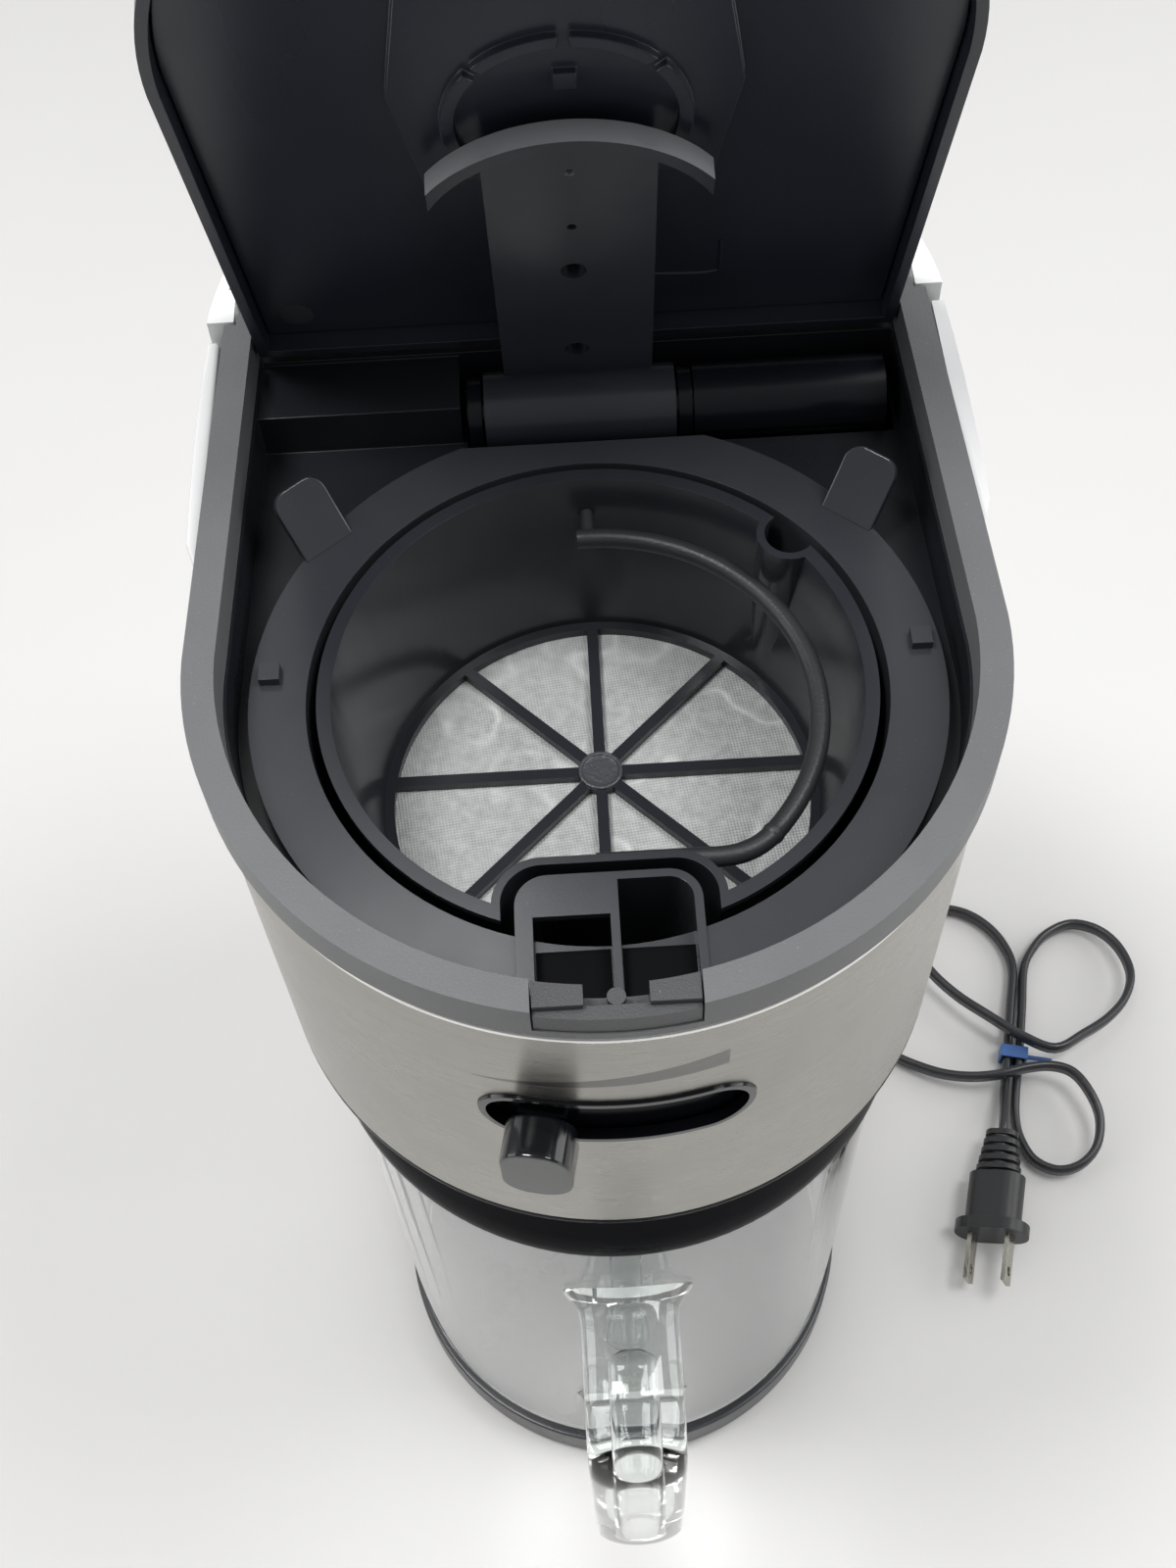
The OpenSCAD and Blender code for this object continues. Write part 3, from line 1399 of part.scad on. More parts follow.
// Hub, spokes and outer ring under the mesh cup
module floor_frame() {
    floor_in = filter_low_r - filter_wall / 2;
    difference() {
        translate([0, 0, filter_z]) intersection() {
            cylinder(r = floor_in, h = spoke_h);
            union() {
                translate([0, hub_y, 0]) cylinder(r = hub_r, h = spoke_h);
                for (i = [0 : spoke_count - 1])
                    translate([0, hub_y, 0]) rotate([0, 0, 360 / spoke_count * i])
                        translate([0, -spoke_w / 2, 0]) cube([2 * filter_low_r, spoke_w, spoke_h]);
                difference() {
                    cylinder(r = filter_low_r, h = spoke_h);
                    translate([0, 0, -cut])
                        cylinder(r = filter_low_r - filter_wall - mesh_ring_w, h = spoke_h + 2 * cut);
                }
            }
        }
        notch(filter_wall / 2);
        flute(filter_wall / 2);
    }
}

module filter_mesh() {
    color("lightgray") difference() {
        translate([0, 0, filter_z - mesh_t]) cylinder(r = filter_low_r - filter_wall / 2, h = mesh_t);
        notch(filter_wall / 2);
        flute(filter_wall / 2);
    }
}

// Bail of the filter, lying to the right: a wide bend, a tighter corner and a straight leg
module bail_bend(centre, r, low, high) {
    translate(centre) rotate([0, 0, low]) rotate_extrude(angle = high - low)
        translate([r, 0]) circle(r = bail_wire_r, $fn = 24);
}

module bail_handle() {
    inset = bail_front - bail_corner_r;
    corner_x = sqrt(pow(bail_r - bail_corner_r, 2) - inset * inset);
    turn = atan2(-inset, corner_x);
    color(black) translate([0, 0, bail_z]) {
        bail_bend([0, 0, 0], bail_r, turn + bead_turn, bail_end_angle);
        bail_bend([corner_x, -inset, 0], bail_corner_r, -90, turn - bead_turn);
        rotate([0, 0, turn]) translate([bail_r, 0, 0])
            sphere(r = bail_wire_r + bail_bead, $fn = 24);
        rod_x(-bail_wire_r, -bail_front, 0, bail_wire_r, corner_x + bail_wire_r, $fn = 24);
        translate([0, bail_r, 0]) rotate([-90, 0, 0])
            cylinder(r = bail_pin_r, h = filter_top_r - bail_r, $fn = 24);
        translate([0, -bail_front, 0]) rotate([90, 0, 0])
            cylinder(r = bail_pin_r, h = notch_rear - bail_front, $fn = 24);
    }
}

// Jug
module jug_glass() {
    inside = jug_r - jug_wall;
    lip = jug_wall / 2;
    color(clear, 0.4) translate([0, 0, jug_z]) rotate_extrude() {
        difference() {
            union() {
                translate([0, jug_round]) square([jug_r, jug_h - jug_round - lip]);
                square([jug_r - jug_round, jug_h / 2]);
                translate([jug_r - jug_round, jug_round]) circle(r = jug_round);
            }
            translate([0, jug_floor]) square([inside, jug_h]);
            translate([-jug_r, 0]) square([jug_r, jug_h]);
        }
        translate([jug_r - lip, jug_h - lip]) circle(r = lip);
    }
}

// Corner of the handle in the plane through the axis, from one bearing to a quarter turn on
module strap_corner(z, bearing) {
    translate([0, -jug_r - handle_out + handle_round, z]) rotate([90, 0, 90]) rotate([0, 0, bearing])
        rotate_extrude(angle = 90) translate([handle_round, 0]) rotate(90) stadium(strap_w, strap_t);
}

module jug_handle() {
    high = jug_z + handle_high;
    low = jug_z + handle_low;
    arm = handle_out - handle_round;
    color(clear, 0.4) difference() {
        union() {
            for (z = [low, high]) translate([0, 0, z]) facing_front(-jug_r + jug_wall, arm + jug_wall)
                stadium(strap_w, strap_t);
            strap_corner(high - handle_round, 90);
            strap_corner(low + handle_round, 180);
            translate([0, -jug_r - handle_out, low + handle_round])
                linear_extrude(high - low - 2 * handle_round) stadium(strap_w, strap_t);
        }
        translate([0, 0, jug_z]) cylinder(r = jug_r, h = jug_h);
    }
}

module jug_lid() {
    top = jug_lid_top;
    low = jug_top - jug_lid_over;
    glass = jug_r + jug_lid_gap;
    inner = jug_r - jug_wall - jug_lid_gap - gasket_t;
    t = jug_lid_t;
    edge = t * 1.2;
    color(black) rotate_extrude() polygon([
        [inlet_r, top - dish_drop], [dish_r - edge, top - t / 2], [dish_r, top],
        [jug_lid_top_r - edge, top], [jug_lid_top_r, top - edge],
        [glass + t / 4, jug_top + t / 2], [jug_lid_r, jug_top - t], [jug_lid_r, low],
        [glass, low], [glass, jug_top + jug_lid_gap], [glass - t, jug_top + jug_lid_gap],
        [jug_lid_top_r - t, top - edge], [inner, top - t], [inner, low],
        [inner - t, low], [inner - t, top - t], [dish_r, top - t], [inlet_r, top - dish_drop - t]
    ]);
}

module jug_gasket() {
    inner = jug_r - jug_wall - jug_lid_gap - gasket_t;
    color(rubber) translate([0, 0, jug_top - jug_lid_over]) rotate_extrude()
        translate([inner + pin_gap, 0]) square([gasket_t - pin_gap, gasket_h]);
}

// Water tank
module tank_shell() {
    color(white) difference() {
        translate([0, 0, tank_z]) linear_extrude(rim_z - tank_z) tank_plan(0);
        translate([0, 0, tank_z + tank_wall]) linear_extrude(rim_z - tank_z) tank_plan(tank_wall);
        translate([tank_valve_x, tank_valve_y, tank_z - cut])
            cylinder(r = tank_valve_r + pin_gap, h = tank_wall + 2 * cut);
    }
}

module tank_valve() {
    low = foot_h + plate_t + base_wall;
    color(rubber) translate([tank_valve_x, tank_valve_y, low]) {
        cylinder(r = tank_valve_r, h = tank_z + 2 * tank_wall - low);
        translate([0, 0, tank_z + tank_wall - low]) cylinder(r = tank_valve_r * 1.5, h = tank_wall);
    }
}

// Plan of the tank lid: a round rear behind a straight front edge
module tank_lid_plan(inset, front) {
    r = tank_r - inset;
    intersection() {
        translate([0, rear_y]) circle(r = r);
        translate([-r, front]) square([2 * r, rear_y + r - front]);
    }
}

// Hinge pins of the tank lid, from inside its corners into the rim
module tank_pins(r, length) {
    inside = tank_seat_half - 2 * tank_pin_len;
    for (side = [-1, 1])
        rod_x(side > 0 ? inside : -inside - length, tank_pin_y, tank_pin_z, r, length);
}

module tank_rim() {
    color(white) difference() {
        translate([0, 0, rim_z]) linear_extrude(rim_h) difference() {
            tank_plan(0);
            tank_lid_plan(tank_rim_w, recess_back + tank_rim_w);
        }
        translate([0, 0, top_z - tank_lid_t - tank_lid_gap])
            linear_extrude(rim_h) tank_lid_plan(tank_seat, recess_back + tank_seat);
        tank_pins(tank_pin_r + pin_gap, 3 * tank_pin_len + seat_gap);
    }
}

module tank_lid() {
    color(dark_grey) {
        translate([0, 0, top_z - tank_lid_t]) linear_extrude(tank_lid_t)
            tank_lid_plan(tank_seat + tank_lid_gap, tank_pin_y - tank_hinge_edge);
        tank_pins(tank_pin_r, 3 * tank_pin_len);
    }
}

// Cord
module along_relief() {
    translate([relief_start[0], relief_start[1], cord_exit_z])
        rotate([0, 0, relief_bearing]) rotate([0, 90, 0]) children();
}

module strain_relief() {
    ribs = 5;
    step = relief_len / ribs;
    core = cord_h / 2 + tie_t;
    color(rubber) difference() {
        along_relief() {
            cylinder(r = core, h = relief_len);
            for (i = [0 : ribs - 1]) translate([0, 0, i * step])
                cylinder(r = relief_r - i * (relief_r - core) / ribs, h = step / 2);
        }
        translate([0, rear_y, 0]) cylinder(r = base_rear_r, h = base_top);
    }
}

module power_cord() {
    n = len(cord_path);
    points = [
        for (i = [0 : n - 1], k = [0 : cord_sides - 1])
            let (
                a = 360 / cord_sides * (k + 0.5),
                u = across(cord_path, i),
                v = cross(u, along(cord_path, i)),
                grow = 1 / cos(180 / cord_sides)
            )
            cord_path[i] + grow * (cord_w / 2 * cos(a) * u + cord_h / 2 * sin(a) * v)
    ];
    sides = [
        for (i = [0 : n - 2], k = [0 : cord_sides - 1])
            let (m = (k + 1) % cord_sides, a = i * cord_sides)
            each [[a + k, a + m, a + cord_sides + m], [a + k, a + cord_sides + m, a + cord_sides + k]]
    ];
    start = [for (k = [1 : cord_sides - 2]) [0, k + 1, k]];
    last = (n - 1) * cord_sides;
    end = [for (k = [1 : cord_sides - 2]) [last, last + k, last + k + 1]];
    color(rubber) polyhedron(points = points, faces = concat(start, sides, end));
}

// Tie round the two strands of the bundle, with its twisted tail
module cord_tie() {
    w = cord_spread + cord_w + 2 * tie_gap;
    h = cord_h + 2 * tie_gap;
    turn = -atan2(tie_dir[0], tie_dir[1]);
    color("royalblue") translate(cord_shift + [tie_at[0], tie_at[1], 0]) rotate([0, 0, turn]) {
        facing_front(tie_len / 2, tie_len) translate([0, tie_low + tie_t + h / 2]) difference() {
            square([w + 2 * tie_t, h + 2 * tie_t], center = true);
            square([w, h], center = true);
        }
        rod_x(w / 2 + tie_t / 2, 0, tie_low + tie_t + h / 2, tie_t, 2 * tie_len);
    }
}

// Plug, drawn along +Z from the end of the cord
module plug_pose() {
    end = cord_route[len(cord_route) - 1];
    translate(end) rotate([0, 0, atan2(plug_dir[1], plug_dir[0])]) rotate([0, 90, 0])
        rotate([0, 0, 90 + plug_roll]) children();
}

module plug_body() {
    ribs = 5;
    step = plug_neck / ribs;
    core = cord_h / 2 + tie_t;
    color(rubber) plug_pose() {
        cylinder(r = core, h = plug_neck);
        for (i = [0 : ribs - 1]) translate([0, 0, i * step])
            linear_extrude(step * 0.6) stadium(plug_t - tie_t + i, plug_t * 2 / 3 + i / 2);
        translate([0, 0, plug_neck]) linear_extrude(plug_len) stadium(plug_w, plug_t);
        translate([0, 0, plug_neck + plug_len]) linear_extrude(plug_flange_t) stadium(flange_w, flange_h);
    }
}

module plug_blades() {
    z = plug_neck + plug_len + plug_flange_t;
    color("silver") plug_pose() for (side = [-1, 1])
        translate([side * blade_pitch / 2, 0, z]) difference() {
            translate([-blade_t / 2, -blade_w / 2, 0]) cube([blade_t, blade_w, blade_len]);
            translate([-blade_t, 0, blade_len * 3 / 4]) rotate([0, 90, 0])
                cylinder(r = blade_hole_r, h = 2 * blade_t, $fn = 24);
        }
}

base();
base_plate();
feet();
tower();
cheek_left();
cheek_right();
head_cover();
head_shell();
steel_wrap();
head_rim();
latch_block();
slot_bezel();
slider_plate();
strength_knob();
hinge_bracket();
hot_water_tube();
riser_hose();
heater();
thermostat();
power_switch();
power_button();
lid_shell();
lid_liner();
water_arm();
swivel_seals();
tea_basket();
basket_ears();
drip_valve();
filter_frame();
filter_mesh();
bail_handle();
jug_glass();
jug_handle();
jug_lid();
jug_gasket();
tank_shell();
tank_rim();
tank_lid();
tank_valve();
strain_relief();
power_cord();
cord_tie();
plug_body();
plug_blades();
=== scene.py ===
"""Looks of the iced tea maker: camera, light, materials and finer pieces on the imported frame.

Lengths are in metres, or in millimetres where a comment says so. The axes are the frame's: the
front faces -Y, Z is up, and the origin lies on the table under the axis of the jug and the head.
"""

import json
import math

import bmesh
import bpy
from mathutils import Matrix, Vector


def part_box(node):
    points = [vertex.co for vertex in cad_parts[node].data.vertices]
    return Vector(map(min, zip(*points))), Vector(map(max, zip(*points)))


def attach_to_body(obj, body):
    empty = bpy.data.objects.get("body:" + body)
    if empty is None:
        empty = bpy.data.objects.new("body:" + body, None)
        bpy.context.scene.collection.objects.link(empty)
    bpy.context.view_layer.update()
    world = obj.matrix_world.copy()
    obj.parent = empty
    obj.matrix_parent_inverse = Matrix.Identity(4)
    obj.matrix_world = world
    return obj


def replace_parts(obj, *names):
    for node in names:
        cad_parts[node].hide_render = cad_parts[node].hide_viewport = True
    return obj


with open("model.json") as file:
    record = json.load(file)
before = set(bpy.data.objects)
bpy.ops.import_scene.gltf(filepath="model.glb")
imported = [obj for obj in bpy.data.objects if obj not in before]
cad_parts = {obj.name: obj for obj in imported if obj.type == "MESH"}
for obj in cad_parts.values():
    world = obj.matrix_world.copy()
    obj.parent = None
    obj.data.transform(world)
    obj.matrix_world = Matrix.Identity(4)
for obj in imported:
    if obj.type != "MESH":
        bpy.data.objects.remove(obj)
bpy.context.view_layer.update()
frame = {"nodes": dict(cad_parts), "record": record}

MM = 0.001
NODES = frame["nodes"]
BODY_OF = {node: body for body, nodes in frame["record"]["behaviour"]["bodies"].items() for node in nodes}
SLOT_OF = {entry["node"]: entry["material_slot"] for entry in frame["record"]["subparts"]}

# Camera, as found from the round rims in the photograph
CAMERA_AT = (-2.4 * MM, -203.6 * MM, 622.2 * MM)
CAMERA_YAW = math.radians(-0.11)
CAMERA_PITCH = math.radians(58.09)
CAMERA_ROLL = math.radians(3.31)
IMAGE_HEIGHT_PX = 1600
FOCAL_PX = 1903
SENSOR_MM = 36
CLIP_START = 0.01

# Table: half its size, and its two close shades
FLOOR_HALF = 3.0
FLOOR_COLOR = (0.7, 0.69, 0.675)
FLOOR_LIGHT = (0.735, 0.725, 0.71)
FLOOR_ROUGHNESS = 0.7

# Lamps: name, place, side length and power. All of them point at the middle of the object.
LAMP_TARGET = (0, 0, 0.2)
LAMPS = (
    ("ceiling_light", (-0.5, 0.02, 1.8), 0.35, 13),
    ("right_ceiling_light", (0.75, 0.05, 1.7), 0.6, 10.5),
    ("rear_ceiling_light", (-0.17, 0.67, 1.86), 0.25, 1.1),
    ("left_softbox", (-1.3, 0.2, 0.7), 0.8, 5),
    ("right_softbox", (1.3, 0.2, 0.7), 0.8, 5.5),
    ("left_fill", (-1.25, -0.6, 0.45), 0.6, 2.2),
    ("right_fill", (1.25, -0.6, 0.45), 0.6, 2.2),
)

# Light all round: its colour, and how its strength grows along an axis, upwards and to the rear.
# Each row has the axis, the two ends along it and the strength at each end.
WORLD_COLOR = (0.95, 0.97, 1.0)
WORLD_FADES = ((2, (0.0, 0.9, 0.15, 0.34)), (1, (-0.2, 0.8, 0.0, 0.33)))

# Rounding of the CAD nodes: welding distance, angles of flat, sharp and smooth edges, and steps
WELD = 0.002 * MM
FLAT_ANGLE = math.radians(0.5)
SHARP_ANGLE = math.radians(30)
SMOOTH_DEGREES = 32
EDGE_STEPS = 2

# Radius of the rounded edges of each CAD node, in millimetres
EDGES_MM = {
    "base": 1.2, "base_plate": 0.3, "feet": 0.4, "tower": 0.8, "cheek_left": 1.0, "cheek_right": 1.0,
    "head_cover": 0.6, "head_shell": 0.4, "steel_wrap": 0.15, "head_rim": 1.2, "latch_block": 0.5,
    "slot_bezel": 0.25, "slider_plate": 0.3, "strength_knob": 1.9, "hinge_bracket": 0.4,
    "hot_water_tube": 0.4, "riser_hose": 0.2, "heater": 0.4, "thermostat": 0.4, "power_switch": 0.5,
    "power_button": 0.6, "lid_shell": 0.8, "lid_liner": 0.3, "water_arm": 0.5, "swivel_seals": 0.05,
    "tea_basket": 0.4, "basket_ears": 0.4, "drip_valve": 0.3, "filter_frame": 0.3, "filter_mesh": 0.05,
    "bail_handle": 0.2, "jug_glass": 0.6, "jug_lid": 0.8, "jug_gasket": 0.3, "tank_shell": 1.0,
    "tank_rim": 0.8, "tank_lid": 0.6, "tank_valve": 0.3, "strain_relief": 0.2, "cord_tie": 0.2,
    "plug_body": 0.5, "plug_blades": 0.25,
}

# Strength mark on the steel: its ends round the drum, and its foot and thickness at each end
SLOT_Z = (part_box("slot_bezel")[0][2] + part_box("slot_bezel")[1][2]) / 2
WEDGE_LEFT, WEDGE_RIGHT = math.radians(-21), math.radians(15.2)
WEDGE_FOOT = (SLOT_Z + 13.8 * MM, SLOT_Z + 18.0 * MM)
WEDGE_THICK = (0.25 * MM, 6.0 * MM)
WEDGE_COLOR = (0.17, 0.167, 0.16)

# Flat cord, lying on edge: the route of its middle in millimetres, from the strain relief to the plug
CORD_WIDTH = 3.2 * MM
CORD_HEIGHT = 5.4 * MM
RELIEF_BEARING = math.radians(40)
REAR_CENTRE_Y = 79
BASE_REAR_R = 75
RELIEF_LENGTH = 22
RELIEF_END = (
    (BASE_REAR_R + RELIEF_LENGTH) * math.cos(RELIEF_BEARING),
    REAR_CENTRE_Y + (BASE_REAR_R + RELIEF_LENGTH) * math.sin(RELIEF_BEARING),
)
CORD_ROUTE = [
    (RELIEF_END[0], RELIEF_END[1], 9),
    (RELIEF_END[0] + 3, RELIEF_END[1] + 2.5, 8.6),
    (83, 147.5, 7), (91.5, 147, 5.6), (99, 141, 6), (104, 131, 8),
    (107, 118, 9.6), (111, 104, 9.2), (117, 91, 8), (125, 80.5, 8.4),
    (134, 71.5, 10.2), (145, 62.5, 10.4), (156, 57, 10.4),
    (167, 62, 10), (177, 68, 9), (185, 76, 8), (189, 86, 7), (187, 97, 6),
    (181, 105, 5), (172, 108.5, 4), (163, 105.5, 3.4), (156.5, 99.5, 3),
    (152, 91.6, 3), (148.6, 76, 3.5), (144.4, 57.6, 3.9), (141, 44, 3.5), (139.4, 34.6, 3),
    (139.8, 27, 3), (143, 19, 3.6), (150, 14.5, 4.6), (158, 15.5, 6),
    (164.5, 21.5, 7.4), (167, 31, 8.8), (165, 40, 10), (160.5, 47.5, 10.4),
    (153.5, 50.4, 10.4), (145, 50.2, 10.4), (135, 48.5, 10),
    (126, 49, 8), (117, 51.5, 5.6), (109, 55.5, 3.8), (101, 60.5, 2.9),
    (95, 67.5, 2.8), (91.5, 76, 2.8), (90.5, 85.5, 2.8), (92.5, 95.5, 2.8),
    (97.5, 104.5, 2.8), (105, 111.5, 2.8), (114, 116.5, 2.8), (124, 118.5, 2.8),
    (134, 116, 2.8), (141.5, 110, 2.8), (146.3, 102, 2.8),
    (148, 92.4, 3), (144.6, 77, 3.5), (140.3, 58.4, 3.9), (137, 45, 4.6),
    (135.2, 37, 7), (133.4, 30.2, 9.9), (132.6, 27.2, 9.9),
]
CORD_RINGS_PER_SPAN = 5
CORD_SIDES = 20
CORD_GROOVE_DEPTH = 0.16
CORD_GROOVE_WIDTH = 0.28
CORD_BULGE = 0.8

# Glass handle: size of its CAD node, and an oval rod that is thicker towards the jug
HANDLE_THICK = 9 * MM
HANDLE_HALF_THICK = 5.6 * MM
HANDLE_ROUND = 17 * MM
HANDLE_BULGE = 0.9
HANDLE_SIDES = 48
HANDLE_ARM_STEPS, HANDLE_BEND_STEPS, HANDLE_GRIP_STEPS = 16, 14, 6
# Flare at the roots: its length, and how much wider and thicker the rod is there
HANDLE_FLARE_LENGTH = 1.5 * MM
HANDLE_FLARE_WIDTH = 0.34
HANDLE_FLARE_THICK = 0.3
# Outside of the jug at the roots, and the room beside it for all other rings
HANDLE_GAP = 0.05 * MM
HANDLE_ROOM = 0.1 * MM
ON_WALL = 1e-6
JUG_WALL = (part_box("jug_glass")[1][0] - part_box("jug_glass")[0][0]) / 2 + HANDLE_GAP
# Hollow of the rod: rings at each root that stay solid, its share of the rod, and the share of its first rings
HANDLE_SOLID = 10
HANDLE_VOID = 0.5
HANDLE_VOID_ENDS = (0.25, 0.42)

# Bead near the upper edge of the steel
HEM_DROP = 3.6 * MM
HEM_RADIUS = 0.9 * MM
HEM_PROUD = 0.6 * MM
HEM_STEPS = 96
HEM_SIDES = 12

# Lid, in millimetres: hinge axis, opening angle, face of the lining and its moulded marks
HINGE_Y = 84
HINGE_Z = 341.9
LID_OPEN = math.radians(75)
LINING_AT = -1.0
EJECTOR_AT = (-57.2, 8.4)
EJECTOR_PROFILE = ((0.3, 0.12), (2.2, 0.12), (3.5, 0.12), (3.7, 0.02), (3.7, -0.3), (0.3, -0.3))
EJECTOR_SIDES = 48
LID_LINE = [(15.5, 16.4), (24, 15.8), (28.2, 16.2), (29.3, 17.8), (29.1, 27)]
LID_LINE_WIDTH = 0.3
LID_LINE_PROFILE = ((-1, -0.2), (-0.8, 0.15), (0, 0.3), (0.8, 0.15), (1, -0.2))
LID_LINE_STEPS = 6

# Water arm, in millimetres: its swivel, half its width, and its square end past the round of its crescent
ARM_AT = (0, 74, 327.9)
ARM_HALF = 15.5
ARM_END, ARM_ROUND = 83.0, 81.4
ARM_NEAR = 0.05

# Lip of the arm's crescent: where its faces lie, how far they face up, and the sheet over them that carries a
# painted highlight
LIP_LOW_Z = 392 * MM
LIP_BACK_Y = 64 * MM
LIP_FACING = 0.3
LIP_SHEET = 0.08 * MM

# Pocket of the basket, in millimetres: name, left, right, rear and front of each near-black sheet that paints
# shade on a floor of the pocket
POCKET_FLOOR_Z = 327.3
POCKET_SHADE_SHEETS = (("pocket_shade_left", -13.6, -0.3, 54.6, 65.6), ("pocket_shade_right", 1.7, 14.7, 54.6, 65.6))
# Inset and height of each step of a sheet's rounded edge
POCKET_STEPS = ((0.0, 0.05), (0.0, 0.25), (0.5, 0.4), (1.2, 0.42))

# Hub of the filter's floor: its middle, and its profile in millimetres
HUB_Y = 6.3 * MM
HUB_HEIGHT = 2.2 * MM
HUB_PROFILE = (
    (0.02, 0.1), (1.6, 0.1), (2.8, 0.1), (3.55, 0.1), (3.75, 0.16), (3.9, 0.4), (4.1, 0.5), (4.4, 0.5),
    (4.62, 0.38), (4.68, 0.05), (4.4, -0.2), (0.02, -0.2),
)
HUB_SIDES = 64


# Small helpers for shader nodes

def new_material(name, color, roughness, **sockets):
    """A principled material. Further sockets are named as in Blender, with _ for a space."""
    material = bpy.data.materials.new(name)
    material.use_nodes = True
    shader = shader_of(material)
    shader.inputs["Base Color"].default_value = (*color, 1)
    shader.inputs["Roughness"].default_value = roughness
    for socket, value in sockets.items():
        shader.inputs[socket.replace("_", " ")].default_value = value
    return material


def shader_of(material):
    return material.node_tree.nodes["Principled BSDF"]


def add_node(material, kind, **settings):
    node = material.node_tree.nodes.new("ShaderNode" + kind)
    for key, value in settings.items():
        setattr(node, key, value)
    return node


def link(material, source, target):
    material.node_tree.links.new(source, target)


def set_input(material, socket, value):
    """Links a socket to another one, or sets its number or colour."""
    if isinstance(value, bpy.types.NodeSocket):
        link(material, value, socket)
    else:
        socket.default_value = value


def place(material):
    """Coordinates in the frame, in metres."""
    return add_node(material, "TexCoord").outputs["Object"]


def scaled(material, vector, scale):
    node = add_node(material, "Mapping")
    link(material, vector, node.inputs["Vector"])
    node.inputs["Scale"].default_value = scale
    return node.outputs["Vector"]


def axes_of(material, vector):
    node = add_node(material, "SeparateXYZ")
    link(material, vector, node.inputs[0])
    return node.outputs


def noise(material, vector, scale, detail=3.0, roughness=0.55):
    """Cloudy pattern, with its scale per metre."""
    node = add_node(material, "TexNoise")
    link(material, vector, node.inputs["Vector"])
    node.inputs["Scale"].default_value = scale
    node.inputs["Detail"].default_value = detail
    node.inputs["Roughness"].default_value = roughness
    return node.outputs["Fac"]


def remap(material, value, low, high, to_low, to_high):
    node = add_node(material, "MapRange")
    set_input(material, node.inputs["Value"], value)
    node.inputs["From Min"].default_value = low
    node.inputs["From Max"].default_value = high
    node.inputs["To Min"].default_value = to_low
    node.inputs["To Max"].default_value = to_high
    return node.outputs["Result"]


def math_node(material, operation, a, b=0.0):
    node = add_node(material, "Math", operation=operation)
    set_input(material, node.inputs[0], a)
    set_input(material, node.inputs[1], b)
    return node.outputs[0]


def times(material, a, b):
    return math_node(material, "MULTIPLY", a, b)


def mix_color(material, factor, a, b):
    node = add_node(material, "Mix", data_type="RGBA")
    set_input(material, node.inputs["Factor"], factor)
    colors = [socket for socket in node.inputs if socket.type == "RGBA"]
    for socket, value in zip(colors, (a, b)):
        set_input(material, socket, value if isinstance(value, bpy.types.NodeSocket) else (*value, 1))
    return next(socket for socket in node.outputs if socket.type == "RGBA")


def bump(material, height, strength, distance, normal=None):
    node = add_node(material, "Bump")
    node.inputs["Strength"].default_value = strength
    node.inputs["Distance"].default_value = distance
    link(material, height, node.inputs["Height"])
    if normal is not None:
        link(material, normal, node.inputs["Normal"])
    return node.outputs["Normal"]


# Materials

def moulded_plastic(name, color, light, roughness, spread, grain_scale, grain, dust=0.0, **sockets):
    """Moulded plastic: cloudy tone, uneven gloss, fine surface grain and a few dust specks."""
    cloud_scale, smear_scale, speck_scale, patch_scale = 26, 32, 1900, 45
    dust_color = (0.34, 0.34, 0.34)
    grain_depth = 0.2 * MM
    material = new_material(name, color, roughness, **sockets)
    shader = shader_of(material)
    at = place(material)
    cloud = noise(material, at, cloud_scale, detail=3)
    tone = mix_color(material, remap(material, cloud, 0.3, 0.72, 0, 1), color, light)
    if dust:
        speck = noise(material, at, speck_scale, detail=1)
        patch = noise(material, at, patch_scale, detail=2)
        speckle = times(material, remap(material, speck, 0.72, 0.78, 0, dust),
                        remap(material, patch, 0.45, 0.65, 0.15, 1))
        tone = mix_color(material, speckle, tone, dust_color)
    link(material, tone, shader.inputs["Base Color"])
    smear = noise(material, scaled(material, at, (1, 1, 0.5)), smear_scale, detail=3)
    gloss = remap(material, smear, 0.3, 0.75, roughness - spread, roughness + spread)
    link(material, gloss, shader.inputs["Roughness"])
    fine = noise(material, at, grain_scale, detail=2)
    link(material, bump(material, fine, grain, grain_depth), shader.inputs["Normal"])
    return material


def round_noise(material, angle, z, per_radian, per_metre, **settings):
    """Pattern stretched round the drum."""
    around = add_node(material, "CombineXYZ")
    link(material, times(material, angle, per_radian), around.inputs[0])
    link(material, times(material, z, per_metre), around.inputs[1])
    return noise(material, around.outputs[0], 1.0, **settings)


